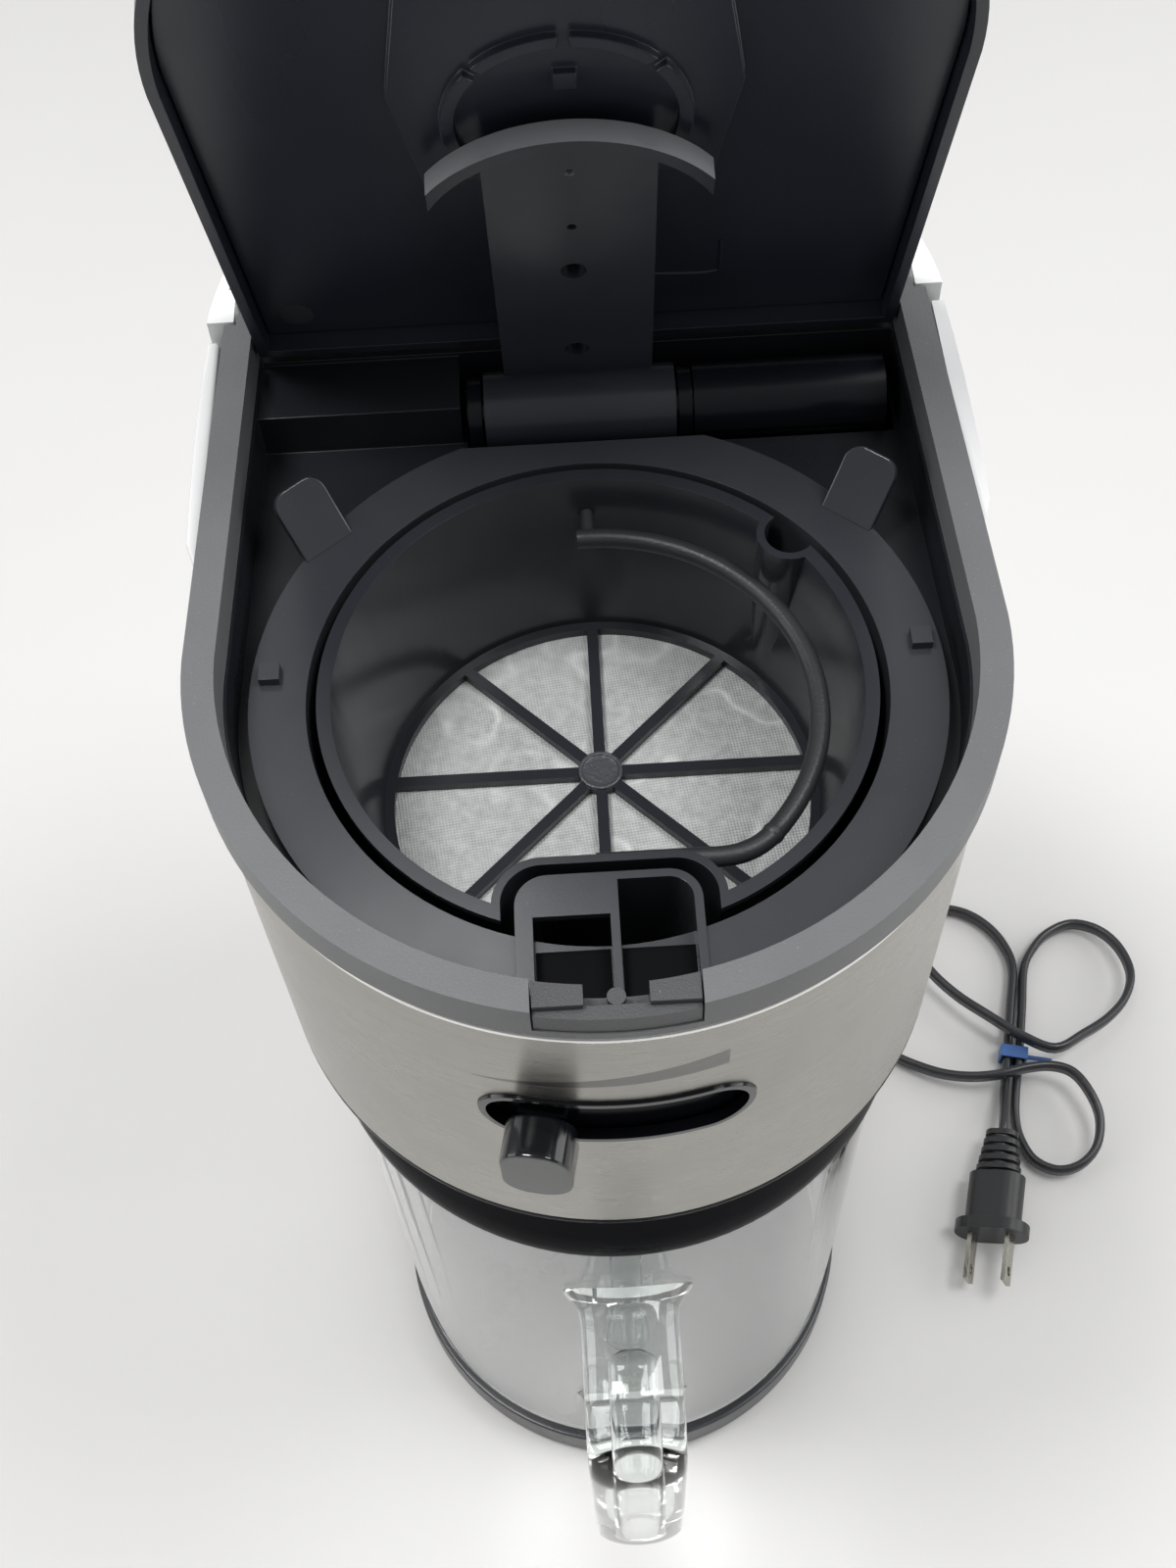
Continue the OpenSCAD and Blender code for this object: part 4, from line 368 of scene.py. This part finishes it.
def brushed_steel(name):
    """Steel brushed round the drum, with a printed wedge above the slider's slot."""
    dark, light = (0.29, 0.28, 0.256), (0.39, 0.376, 0.345)
    line_share, band_share = 0.72, 0.28
    smudge_scale = 55
    line_depth = 0.05 * MM
    material = new_material(name, (0.6, 0.585, 0.555), 0.3, Metallic=1.0, Anisotropic=0.6,
                            Anisotropic_Rotation=0.25)
    shader = shader_of(material)
    at = place(material)
    x, y, z = axes_of(material, at)
    angle = math_node(material, "ARCTAN2", x, times(material, y, -1.0))
    lines = round_noise(material, angle, z, per_radian=9.0, per_metre=4200.0, detail=3, roughness=0.6)
    bands = round_noise(material, angle, z, per_radian=1.2, per_metre=700.0, detail=3)
    smudge = noise(material, at, smudge_scale, detail=5)
    streak = math_node(material, "ADD", times(material, lines, line_share), times(material, bands, band_share))
    tone = mix_color(material, remap(material, streak, 0.3, 0.7, 0, 1), dark, light)
    mark = wedge_mask(material, angle, z)
    link(material, mix_color(material, mark, tone, WEDGE_COLOR), shader.inputs["Base Color"])
    rough = math_node(material, "ADD", remap(material, streak, 0.3, 0.7, 0.24, 0.33),
                      remap(material, smudge, 0.45, 0.75, 0.0, 0.06))
    link(material, rough, shader.inputs["Roughness"])
    link(material, bump(material, lines, 0.08, line_depth), shader.inputs["Normal"])
    tangent = add_node(material, "Tangent", direction_type="RADIAL", axis="Z")
    link(material, tangent.outputs[0], shader.inputs["Tangent"])
    return material


def wedge_mask(material, angle, z):
    """Strength mark: a line on the left that grows into a wedge to the right."""
    share = remap(material, angle, WEDGE_LEFT, WEDGE_RIGHT, 0.0, 1.0)
    foot = remap(material, share, 0, 1, *WEDGE_FOOT)
    thick = remap(material, share, 0, 1, *WEDGE_THICK)
    above = math_node(material, "GREATER_THAN", z, foot)
    below = math_node(material, "LESS_THAN", z, math_node(material, "ADD", foot, thick))
    inside = times(material, math_node(material, "GREATER_THAN", angle, WEDGE_LEFT),
                   math_node(material, "LESS_THAN", angle, WEDGE_RIGHT))
    return times(material, times(material, above, below), inside)


def clear_glass(name, **sockets):
    """Clear glass with a faint green cast, slight ripples and a thin uneven film."""
    ripple_scale, film_scale = 30, 45
    ripple_depth = 1 * MM
    material = new_material(name, (0.965, 0.985, 0.978), 0.0, Transmission_Weight=1.0, **sockets)
    shader = shader_of(material)
    at = place(material)
    ripple = noise(material, scaled(material, at, (1, 1, 0.5)), ripple_scale, detail=2)
    link(material, bump(material, ripple, 0.02, ripple_depth), shader.inputs["Normal"])
    film = noise(material, at, film_scale, detail=4)
    link(material, remap(material, film, 0.5, 0.8, 0.0, 0.06), shader.inputs["Roughness"])
    return material


def woven_mesh(name):
    """Fine nylon weave with soft creases, and a painted highlight along the creases in patches."""
    thread_pitch = 0.95 * MM
    weave_turn = math.radians(38)
    uneven_scale, sag_scale, fold_scale, highlight_patch_scale = 420, 34, 48, 60
    dark, light = (0.3, 0.315, 0.305), (0.56, 0.575, 0.565)
    # Light colour of the painted highlight along the creases
    sag_color, crease_highlight_color = (0.5, 0.515, 0.505), (0.86, 0.87, 0.86)
    crease_at, crease_highlight_share = 0.52, 0.6
    sag_depth, thread_depth = 3 * MM, 0.15 * MM
    material = new_material(name, (0.45, 0.47, 0.46), 0.38)
    shader = shader_of(material)
    at = place(material)
    turned = add_node(material, "Mapping")
    link(material, at, turned.inputs["Vector"])
    turned.inputs["Rotation"].default_value = (0, 0, weave_turn)
    x, y, _ = axes_of(material, turned.outputs["Vector"])
    turn = 2 * math.pi / thread_pitch
    warp = math_node(material, "SINE", times(material, x, turn))
    weft = math_node(material, "SINE", times(material, y, turn))
    uneven = noise(material, at, uneven_scale, detail=2)
    thread = math_node(material, "ADD", times(material, warp, weft),
                       remap(material, uneven, 0.3, 0.7, -0.7, 0.7))
    sag = noise(material, at, sag_scale, detail=2)
    fold = noise(material, at, fold_scale, detail=1)
    ridge = math_node(material, "ABSOLUTE", math_node(material, "SUBTRACT", fold, crease_at))
    # Patches where the creases carry the painted highlight
    highlight_patch = noise(material, at, highlight_patch_scale, detail=3)
    crease_highlight = times(material, remap(material, ridge, 0.0, 0.03, 1, 0), remap(material, highlight_patch, 0.42, 0.62, 0, 1))
    tone = mix_color(material, remap(material, thread, -1.2, 1.2, 0, 1), dark, light)
    cloud = mix_color(material, remap(material, sag, 0.35, 0.7, 0.0, 0.5), tone, sag_color)
    shade = mix_color(material, times(material, crease_highlight, crease_highlight_share), cloud, crease_highlight_color)
    link(material, shade, shader.inputs["Base Color"])
    ripples = bump(material, sag, 0.4, sag_depth)
    link(material, bump(material, thread, 0.4, thread_depth, ripples), shader.inputs["Normal"])
    return material


def plated_metal(name):
    """Nickel plated blades with fine lengthwise scratches."""
    scratch_scale = 900
    material = new_material(name, (0.4, 0.385, 0.335), 0.3, Metallic=1.0)
    scratch = noise(material, scaled(material, place(material), (1, 0.15, 1)), scratch_scale, detail=4)
    link(material, remap(material, scratch, 0.3, 0.7, 0.15, 0.4), shader_of(material).inputs["Roughness"])
    return material


def table_paint(name, color, light, roughness):
    """Plain pale surface with a very faint unevenness."""
    cloud_scale, grain_scale = 4, 700
    grain_depth = 0.3 * MM
    material = new_material(name, color, roughness, Specular_IOR_Level=0.2)
    shader = shader_of(material)
    at = place(material)
    cloud = noise(material, at, cloud_scale, detail=4)
    link(material, mix_color(material, cloud, color, light), shader.inputs["Base Color"])
    fine = noise(material, at, grain_scale, detail=3)
    link(material, bump(material, fine, 0.04, grain_depth), shader.inputs["Normal"])
    return material


# Plastics, rubber and coated metal: colour, lighter colour, roughness, its spread, scale and strength
# of the grain, and further settings. The first ten are the record's slots, the rest are shades of them,
# some of which paint highlight, sheen or shade as their comments say.
MOULDED = {
    "black_plastic": ((0.0105, 0.0115, 0.0145), (0.016, 0.0175, 0.0215), 0.3, 0.04, 2200, 0.06, {"dust": 0.12}),
    "gloss_black": ((0.004, 0.0045, 0.006), (0.006, 0.0065, 0.0085), 0.12, 0.03, 900, 0.02, {}),
    "rim_grey": ((0.125, 0.128, 0.133), (0.15, 0.153, 0.158), 0.5, 0.05, 2600, 0.45, {"dust": 0.45}),
    "white_plastic": ((0.8, 0.8, 0.795), (0.85, 0.85, 0.845), 0.24, 0.05, 1200, 0.02, {}),
    "rubber": ((0.022, 0.0225, 0.025), (0.034, 0.0345, 0.037), 0.28, 0.05, 1500, 0.1, {}),
    "hose": ((0.7, 0.7, 0.67), (0.78, 0.78, 0.75), 0.4, 0.08, 900, 0.05, {}),
    "heater_metal": ((0.6, 0.6, 0.61), (0.7, 0.7, 0.71), 0.45, 0.1, 800, 0.3, {"Metallic": 1.0}),
    "thermostat_cap": ((0.3, 0.2, 0.1), (0.36, 0.25, 0.14), 0.5, 0.1, 900, 0.1, {}),
    "bail_coat": ((0.02, 0.0205, 0.023), (0.034, 0.0345, 0.037), 0.42, 0.06, 1800, 0.4, {}),
    "tie_blue": ((0.022, 0.085, 0.27), (0.05, 0.15, 0.4), 0.35, 0.08, 900, 0.15, {}),
    "basket_black": ((0.033, 0.0355, 0.041), (0.044, 0.047, 0.053), 0.2, 0.04, 2200, 0.04, {"dust": 0.1}),
    # Light grey, far lighter than the arm's black: painted highlight on the crescent's upper edge
    "lip_painted_highlight": ((0.28, 0.287, 0.304), (0.33, 0.337, 0.354), 0.3, 0.04, 2200, 0.1, {"dust": 0.1}),
    # Darker copy of the black plastic: painted shade for the water tube and hinge bracket under the lid
    "tube_shaded_black": ((0.006, 0.007, 0.0105), (0.009, 0.0102, 0.014), 0.22, 0.03, 1800, 0.03,
                   {"Specular_IOR_Level": 0.3}),
    # About three times lighter than the other black plastic: painted sheen on the front-facing water arm
    "arm_sheen_black": ((0.03, 0.0325, 0.041), (0.038, 0.041, 0.05), 0.24, 0.03, 2200, 0.05, {"dust": 0.1}),
    "lid_black": ((0.0195, 0.022, 0.032), (0.026, 0.029, 0.04), 0.3, 0.04, 2200, 0.06, {"dust": 0.12}),
    "filter_black": ((0.02, 0.022, 0.027), (0.027, 0.0295, 0.035), 0.24, 0.03, 1800, 0.03, {"dust": 0.05}),
    # Copies of the gloss black with their reflection all but turned off: painted shade where they would mirror
    # the shaded table under the head
    "cover_shaded_black": ((0.0025, 0.003, 0.0045), (0.004, 0.0045, 0.0065), 0.16, 0.03, 900, 0.02,
                    {"Specular_IOR_Level": 0.015}),
    "cap_shaded_black": ((0.003, 0.0035, 0.005), (0.005, 0.0055, 0.0075), 0.1, 0.02, 900, 0.02,
                  {"Specular_IOR_Level": 0.015}),
    "hem_steel": ((0.82, 0.81, 0.79), (0.88, 0.87, 0.85), 0.3, 0.05, 1200, 0.05, {"Metallic": 1.0}),
    "hub_grey": ((0.055, 0.058, 0.064), (0.085, 0.089, 0.096), 0.36, 0.05, 1100, 1.0, {}),
    "ejector_black": ((0.034, 0.036, 0.042), (0.04, 0.042, 0.049), 0.45, 0.04, 2200, 0.05, {}),
    # Near-black with little reflection: painted shade for the sheets in the pocket's openings
    "pocket_shade_black": ((0.0012, 0.0014, 0.002), (0.002, 0.0022, 0.003), 0.7, 0.05, 1500, 0.05,
                  {"Specular_IOR_Level": 0.1}),
    "latch_grey": ((0.05, 0.052, 0.056), (0.064, 0.066, 0.07), 0.45, 0.05, 2600, 0.4, {"dust": 0.4}),
    "plug_black": ((0.01, 0.0104, 0.0115), (0.017, 0.0175, 0.019), 0.38, 0.05, 1500, 0.12, {}),
}
MATERIALS = {name: moulded_plastic(name, *row, **more) for name, (*row, more) in MOULDED.items()}
MATERIALS["steel"] = brushed_steel("steel")
MATERIALS["glass"] = clear_glass("glass", IOR=1.5)
MATERIALS["mesh"] = woven_mesh("mesh")
MATERIALS["blade_metal"] = plated_metal("blade_metal")
# The thick rod bends the light only a little, so that it stays as clear as pulled glass looks
MATERIALS["rod_glass"] = clear_glass("rod_glass", IOR=1.06, Coat_Weight=1.0, Coat_Roughness=0.02)

# Nodes that have their own shade of their slot's material. The arm's shade paints sheen, and those of the tube,
# hinge bracket, head cover, slider plate and jug lid paint shade.
SHADE_OF = {
    "latch_block": "latch_grey", "plug_body": "plug_black", "strain_relief": "plug_black",
    "tea_basket": "basket_black", "basket_ears": "basket_black", "water_arm": "arm_sheen_black",
    "lid_shell": "lid_black", "lid_liner": "lid_black", "filter_frame": "filter_black",
    "head_cover": "cover_shaded_black", "slider_plate": "cover_shaded_black", "jug_lid": "cap_shaded_black",
    "hot_water_tube": "tube_shaded_black", "hinge_bracket": "tube_shaded_black",
}


# Helpers for meshes

def give(obj, material):
    obj.data.materials.clear()
    obj.data.materials.append(material)


def mesh_object(name, bm):
    mesh = bpy.data.meshes.new(name)
    bm.to_mesh(mesh)
    bm.free()
    obj = bpy.data.objects.new(name, mesh)
    bpy.context.scene.collection.objects.link(obj)
    return obj


def smooth(obj, degrees):
    """Smooth shading, with edges that turn more than this kept sharp."""
    for face in obj.data.polygons:
        face.use_smooth = True
    obj.data.set_sharp_from_angle(angle=math.radians(degrees))


def attach(obj, shade, node, degrees):
    """Smooth piece that rides with a CAD node's body and takes the given shade of material."""
    smooth(obj, degrees)
    give(obj, MATERIALS[shade])
    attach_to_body(obj, BODY_OF[node])
    return obj


def turns(count):
    """Angles of a full turn in equal steps."""
    return [2 * math.pi * k / count for k in range(count)]


def swell(share, power):
    """Share of a sine or cosine raised to a power, which fills out a round outline."""
    return math.copysign(abs(share) ** power, share)


def way_at(path, i):
    """Direction of a path at one of its points."""
    return (path[min(i + 1, len(path) - 1)] - path[max(i - 1, 0)]).normalized()


def spline(points, steps):
    """Points on a smooth curve through the given ones."""
    last = len(points) - 1
    path = []
    for i in range(last):
        a, b, c, d = (Vector(points[k]) for k in (max(i - 1, 0), i, i + 1, min(i + 2, last)))
        for k in range(steps):
            t = k / steps
            path.append(0.5 * (2 * b + (c - a) * t + (2 * a - 5 * b + 4 * c - d) * t * t
                               + (3 * b - a - 3 * c + d) * t ** 3))
    path.append(Vector(points[last]))
    return path


def skin(name, rings, closed=False):
    """Mesh over rings of points, with flat ends unless the rings close."""
    bm = bmesh.new()
    rows = [[bm.verts.new(p) for p in ring] for ring in rings]
    count = len(rows[0])
    pairs = list(zip(rows, rows[1:])) + ([(rows[-1], rows[0])] if closed else [])
    for a, b in pairs:
        for k in range(count):
            m = (k + 1) % count
            bm.faces.new((a[k], a[m], b[m], b[k]))
    if not closed:
        bm.faces.new(rows[0][::-1])
        bm.faces.new(rows[-1])
    bmesh.ops.recalc_face_normals(bm, faces=bm.faces)
    return mesh_object(name, bm)


# Copies of the CAD nodes

def trim_arm(bm):
    """Draw the corners of the water arm's square end back to the round of its crescent."""
    turn = Matrix.Rotation(LID_OPEN, 3, "X")
    places = [(vert, turn @ (vert.co / MM - Vector(ARM_AT))) for vert in bm.verts]
    side = [(vert, at) for vert, at in places if abs(abs(at.x) - ARM_HALF) < ARM_NEAR and at.y < -ARM_ROUND]
    for vert, at in side:
        if at.y < -ARM_END:
            seats = [other for other, to in side if to.y > -ARM_END and (to - at).xz.length < ARM_NEAR]
            if seats:
                vert.co = seats[0].co
    bmesh.ops.remove_doubles(bm, verts=bm.verts, dist=WELD)


def dress(node, edge):
    """Copy of a CAD node with its sharp edges rounded, standing for the node."""
    bm = bmesh.new()
    bm.from_mesh(NODES[node].data)
    bmesh.ops.remove_doubles(bm, verts=bm.verts, dist=WELD)
    if node == "water_arm":
        trim_arm(bm)
    bmesh.ops.dissolve_limit(bm, angle_limit=FLAT_ANGLE, verts=bm.verts, edges=bm.edges,
                             use_dissolve_boundaries=False)
    sharp = [e for e in bm.edges if len(e.link_faces) == 2 and e.calc_face_angle(0) > SHARP_ANGLE]
    bmesh.ops.bevel(bm, geom=sharp, offset=edge, offset_type="OFFSET", segments=EDGE_STEPS, profile=0.5,
                    affect="EDGES", clamp_overlap=True)
    obj = mesh_object(node + "_dressed", bm)
    smooth(obj, SMOOTH_DEGREES)
    weighted = obj.modifiers.new("weighted", "WEIGHTED_NORMAL")
    weighted.keep_sharp = True
    give(obj, MATERIALS[SHADE_OF.get(node, SLOT_OF[node])])
    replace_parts(obj, node)
    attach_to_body(obj, BODY_OF[node])
    return obj


# Cord

def twin_outline(width, height, sides):
    """Outline of a flat twin cord: two round cores with a shallow groove on each side."""
    outline = []
    for a in turns(sides):
        groove = CORD_GROOVE_DEPTH * math.exp(-(math.sin(a) / CORD_GROOVE_WIDTH) ** 2)
        outline.append((width / 2 * swell(math.cos(a), CORD_BULGE) * (1 - groove), height / 2 * math.sin(a)))
    return outline


def sweep(name, path, outline):
    """Closed tube of a flat outline along a path, upright to the table."""
    rings = []
    for i, point in enumerate(path):
        along = way_at(path, i)
        across = Vector((along.y, -along.x, 0)).normalized()
        up = across.cross(along)
        rings.append([point + across * u + up * v for u, v in outline])
    return skin(name, rings)


def power_cord():
    path = spline([Vector(p) * MM for p in CORD_ROUTE], CORD_RINGS_PER_SPAN)
    obj = sweep("power_cord_lead", path, twin_outline(CORD_WIDTH, CORD_HEIGHT, CORD_SIDES))
    smooth(obj, degrees=60)
    give(obj, MATERIALS["rubber"])
    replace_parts(obj, "power_cord")
    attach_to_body(obj, BODY_OF["power_cord"])


# Glass handle

def handle_line():
    """Middle of the handle from the upper root to the lower one: y, z and the turn of the outer side."""
    low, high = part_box("jug_handle")
    y_out = low[1] + HANDLE_THICK / 2
    top, foot = high[2] - HANDLE_THICK / 2, low[2] + HANDLE_THICK / 2
    turn_y = y_out + HANDLE_ROUND
    reach = turn_y + JUG_WALL
    span = top - foot - 2 * HANDLE_ROUND
    bends = [math.pi / 2 * k / HANDLE_BEND_STEPS for k in range(1, HANDLE_BEND_STEPS + 1)]
    line = [(-JUG_WALL + reach * k / HANDLE_ARM_STEPS, top, 0.0) for k in range(HANDLE_ARM_STEPS + 1)]
    line += [(turn_y - HANDLE_ROUND * math.sin(a), top - HANDLE_ROUND + HANDLE_ROUND * math.cos(a), a)
             for a in bends]
    line += [(y_out, top - HANDLE_ROUND - span * k / HANDLE_GRIP_STEPS, math.pi / 2)
             for k in range(1, HANDLE_GRIP_STEPS + 1)]
    line += [(turn_y - HANDLE_ROUND * math.cos(a), foot + HANDLE_ROUND - HANDLE_ROUND * math.sin(a),
              math.pi / 2 + a) for a in bends]
    line += [(turn_y - reach * k / HANDLE_ARM_STEPS, foot, math.pi) for k in range(1, HANDLE_ARM_STEPS + 1)]
    return line


def handle_ring(y, z, turn, share):
    """Oval ring of the handle, flared near the wall of the jug."""
    low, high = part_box("jug_handle")
    flare = math.exp(-abs(JUG_WALL + y) / HANDLE_FLARE_LENGTH)
    width = share * (high[0] - low[0]) / 2 * (1 + HANDLE_FLARE_WIDTH * flare)
    thick = share * HANDLE_HALF_THICK * (1 + HANDLE_FLARE_THICK * flare)
    inwards = HANDLE_HALF_THICK - HANDLE_THICK / 2
    out = Vector((0, -math.sin(turn), math.cos(turn)))
    ring = []
    for a in turns(HANDLE_SIDES):
        u = width * math.cos(a)
        point = Vector((u, y, z)) + out * (thick * swell(math.sin(a), HANDLE_BULGE) - inwards)
        wall_y = -math.sqrt(JUG_WALL ** 2 - u ** 2)
        point.y = wall_y if abs(JUG_WALL + y) < ON_WALL else min(point.y, wall_y - HANDLE_ROOM)
        ring.append(point)
    return ring


def jug_handle():
    """Pulled glass handle: hollow oval rod with flared roots on the wall of the jug."""
    line = handle_line()
    rod = skin("jug_handle_rod", [handle_ring(*at, 1) for at in line])
    inside = line[HANDLE_SOLID:-HANDLE_SOLID]
    middle = [HANDLE_VOID] * (len(inside) - 2 * len(HANDLE_VOID_ENDS))
    shares = [*HANDLE_VOID_ENDS, *middle, *HANDLE_VOID_ENDS[::-1]]
    void = skin("jug_handle_void", [handle_ring(*at, share) for at, share in zip(inside, shares)])
    void.data.flip_normals()
    bm = bmesh.new()
    for piece in (rod, void):
        bm.from_mesh(piece.data)
    bm.to_mesh(rod.data)
    bm.free()
    bpy.data.objects.remove(void)
    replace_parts(attach(rod, "rod_glass", "jug_handle", degrees=60), "jug_handle")
    return rod


# Trim and marks

def steel_hem():
    """Narrow rolled bead near the upper edge of the steel, round the front."""
    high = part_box("steel_wrap")[1]
    radius = high[0]
    z = high[2] - HEM_DROP
    rings = []
    for k in range(HEM_STEPS + 1):
        a = math.radians(-90 + 180 * k / HEM_STEPS)
        across = Vector((math.sin(a), -math.cos(a), 0))
        rings.append([across * (radius + HEM_PROUD * math.cos(t)) + Vector((0, 0, z + HEM_RADIUS * math.sin(t)))
                      for t in turns(HEM_SIDES)])
    attach(skin("steel_hem", rings), "hem_steel", "steel_wrap", degrees=80)


def filter_hub():
    """Raised ring and grained disc on the hub of the filter's floor."""
    middle = Vector((0, HUB_Y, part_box("filter_mesh")[1][2] + HUB_HEIGHT))
    rings = [[middle + Vector((r * math.cos(a), r * math.sin(a), z)) * MM for r, z in HUB_PROFILE]
             for a in turns(HUB_SIDES)]
    attach(skin("filter_hub_disc", rings, closed=True), "hub_grey", "filter_frame", degrees=50)


def lid_point(x, along, proud):
    """Point on the lining of the open lid, measured in millimetres from the hinge's axis."""
    out = LINING_AT + proud
    return Vector((x, HINGE_Y - along * math.cos(LID_OPEN) - out * math.sin(LID_OPEN),
                   HINGE_Z + along * math.sin(LID_OPEN) - out * math.cos(LID_OPEN))) * MM


def lid_marks():
    """Round ejector mark and a thin moulded line on the lining of the lid."""
    at_x, at_along = EJECTOR_AT
    rings = [[lid_point(at_x + radius * math.cos(a), at_along + radius * math.sin(a), proud)
              for a in turns(EJECTOR_SIDES)] for radius, proud in EJECTOR_PROFILE]
    attach(skin("lid_ejector_mark", rings, closed=True), "ejector_black", "lid_liner", degrees=50)
    line = spline([Vector(p) for p in LID_LINE], LID_LINE_STEPS)
    rings = []
    for i, point in enumerate(line):
        way = way_at(line, i)
        side = Vector((-way.y, way.x, 0)) * LID_LINE_WIDTH
        rings.append([lid_point(point.x + side.x * u, point.y + side.y * u, proud)
                      for u, proud in LID_LINE_PROFILE])
    attach(skin("lid_moulded_line", rings), "lid_black", "lid_liner", degrees=50)


def pocket_shade_sheets():
    """Near-black sheets on the floors of the two openings of the pocket in front of the basket's wall: painted
    shade that makes the shallow openings look deep.
    """
    for name, left, right, rear, front in POCKET_SHADE_SHEETS:
        rings = []
        for inset, z in POCKET_STEPS:
            corners = ((left + inset, -front + inset), (right - inset, -front + inset),
                       (right - inset, -rear - inset), (left + inset, -rear - inset))
            rings.append([Vector((x, y, POCKET_FLOOR_Z + z)) * MM for x, y in corners])
        attach(skin(name, rings), "pocket_shade_black", "tea_basket", degrees=30)


def arm_lip_highlight(arm):
    """Painted highlight on the upper edge of the arm's crescent: a thin light grey sheet over its upward faces.
    """
    bm = bmesh.new()
    bm.from_mesh(arm.data)
    bm.normal_update()
    away = [f for f in bm.faces if f.calc_center_median().z < LIP_LOW_Z
            or f.calc_center_median().y > LIP_BACK_Y or f.normal.z < LIP_FACING]
    bmesh.ops.delete(bm, geom=away, context="FACES")
    for vert in bm.verts:
        vert.co += vert.normal * LIP_SHEET
    bmesh.ops.solidify(bm, geom=bm.faces, thickness=LIP_SHEET)
    attach(mesh_object("arm_lip_highlight", bm), "lip_painted_highlight", "water_arm", degrees=40)


dressed = {node: dress(node, edge * MM) for node, edge in EDGES_MM.items()}
power_cord()
# Clear glass lets the light through to the tower
for clear in (dressed["jug_glass"], jug_handle()):
    clear.visible_shadow = False
steel_hem()
filter_hub()
lid_marks()
pocket_shade_sheets()
arm_lip_highlight(dressed["water_arm"])


# Room, light and camera

def floor():
    half = FLOOR_HALF
    bm = bmesh.new()
    corners = ((-half, -half, 0), (half, -half, 0), (half, half, 0), (-half, half, 0))
    bm.faces.new([bm.verts.new(c) for c in corners])
    obj = mesh_object("floor", bm)
    give(obj, table_paint("table_paint", FLOOR_COLOR, FLOOR_LIGHT, FLOOR_ROUGHNESS))


def area_light(name, at, size, power):
    light = bpy.data.lights.new(name, "AREA")
    light.shape = "RECTANGLE"
    light.size = light.size_y = size
    light.energy = power
    obj = bpy.data.objects.new(name, light)
    obj.location = at
    obj.rotation_euler = (Vector(LAMP_TARGET) - Vector(at)).to_track_quat("-Z", "Y").to_euler()
    bpy.context.scene.collection.objects.link(obj)


def studio_world():
    """Soft light from above and behind that fades towards the front."""
    world = bpy.data.worlds.new("studio")
    world.use_nodes = True
    tree = world.node_tree
    background = tree.nodes["Background"]
    background.inputs["Color"].default_value = (*WORLD_COLOR, 1)
    split = tree.nodes.new("ShaderNodeSeparateXYZ")
    tree.links.new(tree.nodes.new("ShaderNodeTexCoord").outputs["Generated"], split.inputs[0])
    total = tree.nodes.new("ShaderNodeMath")
    total.operation = "ADD"
    for (axis, ends), share in zip(WORLD_FADES, total.inputs):
        fade = tree.nodes.new("ShaderNodeMapRange")
        for socket, value in zip(("From Min", "From Max", "To Min", "To Max"), ends):
            fade.inputs[socket].default_value = value
        tree.links.new(split.outputs[axis], fade.inputs["Value"])
        tree.links.new(fade.outputs["Result"], share)
    tree.links.new(total.outputs[0], background.inputs["Strength"])
    return world


def photo_camera():
    forward = Vector((math.sin(CAMERA_YAW) * math.cos(CAMERA_PITCH),
                      math.cos(CAMERA_YAW) * math.cos(CAMERA_PITCH), -math.sin(CAMERA_PITCH)))
    level = Vector((math.cos(CAMERA_YAW), -math.sin(CAMERA_YAW), 0))
    down = forward.cross(level)
    right = level * math.cos(CAMERA_ROLL) + down * math.sin(CAMERA_ROLL)
    lower = -level * math.sin(CAMERA_ROLL) + down * math.cos(CAMERA_ROLL)
    data = bpy.data.cameras.new("photo_camera")
    data.sensor_fit = "VERTICAL"
    data.sensor_height = SENSOR_MM
    data.lens = SENSOR_MM * FOCAL_PX / IMAGE_HEIGHT_PX
    data.clip_start = CLIP_START
    obj = bpy.data.objects.new("photo_camera", data)
    axes = Matrix((right, -lower, -forward)).transposed().to_4x4()
    obj.matrix_world = Matrix.Translation(CAMERA_AT) @ axes
    bpy.context.scene.collection.objects.link(obj)
    bpy.context.scene.camera = obj


floor()
for lamp in LAMPS:
    area_light(*lamp)
bpy.context.scene.world = studio_world()
bpy.context.scene.view_settings.view_transform = "Standard"
photo_camera()
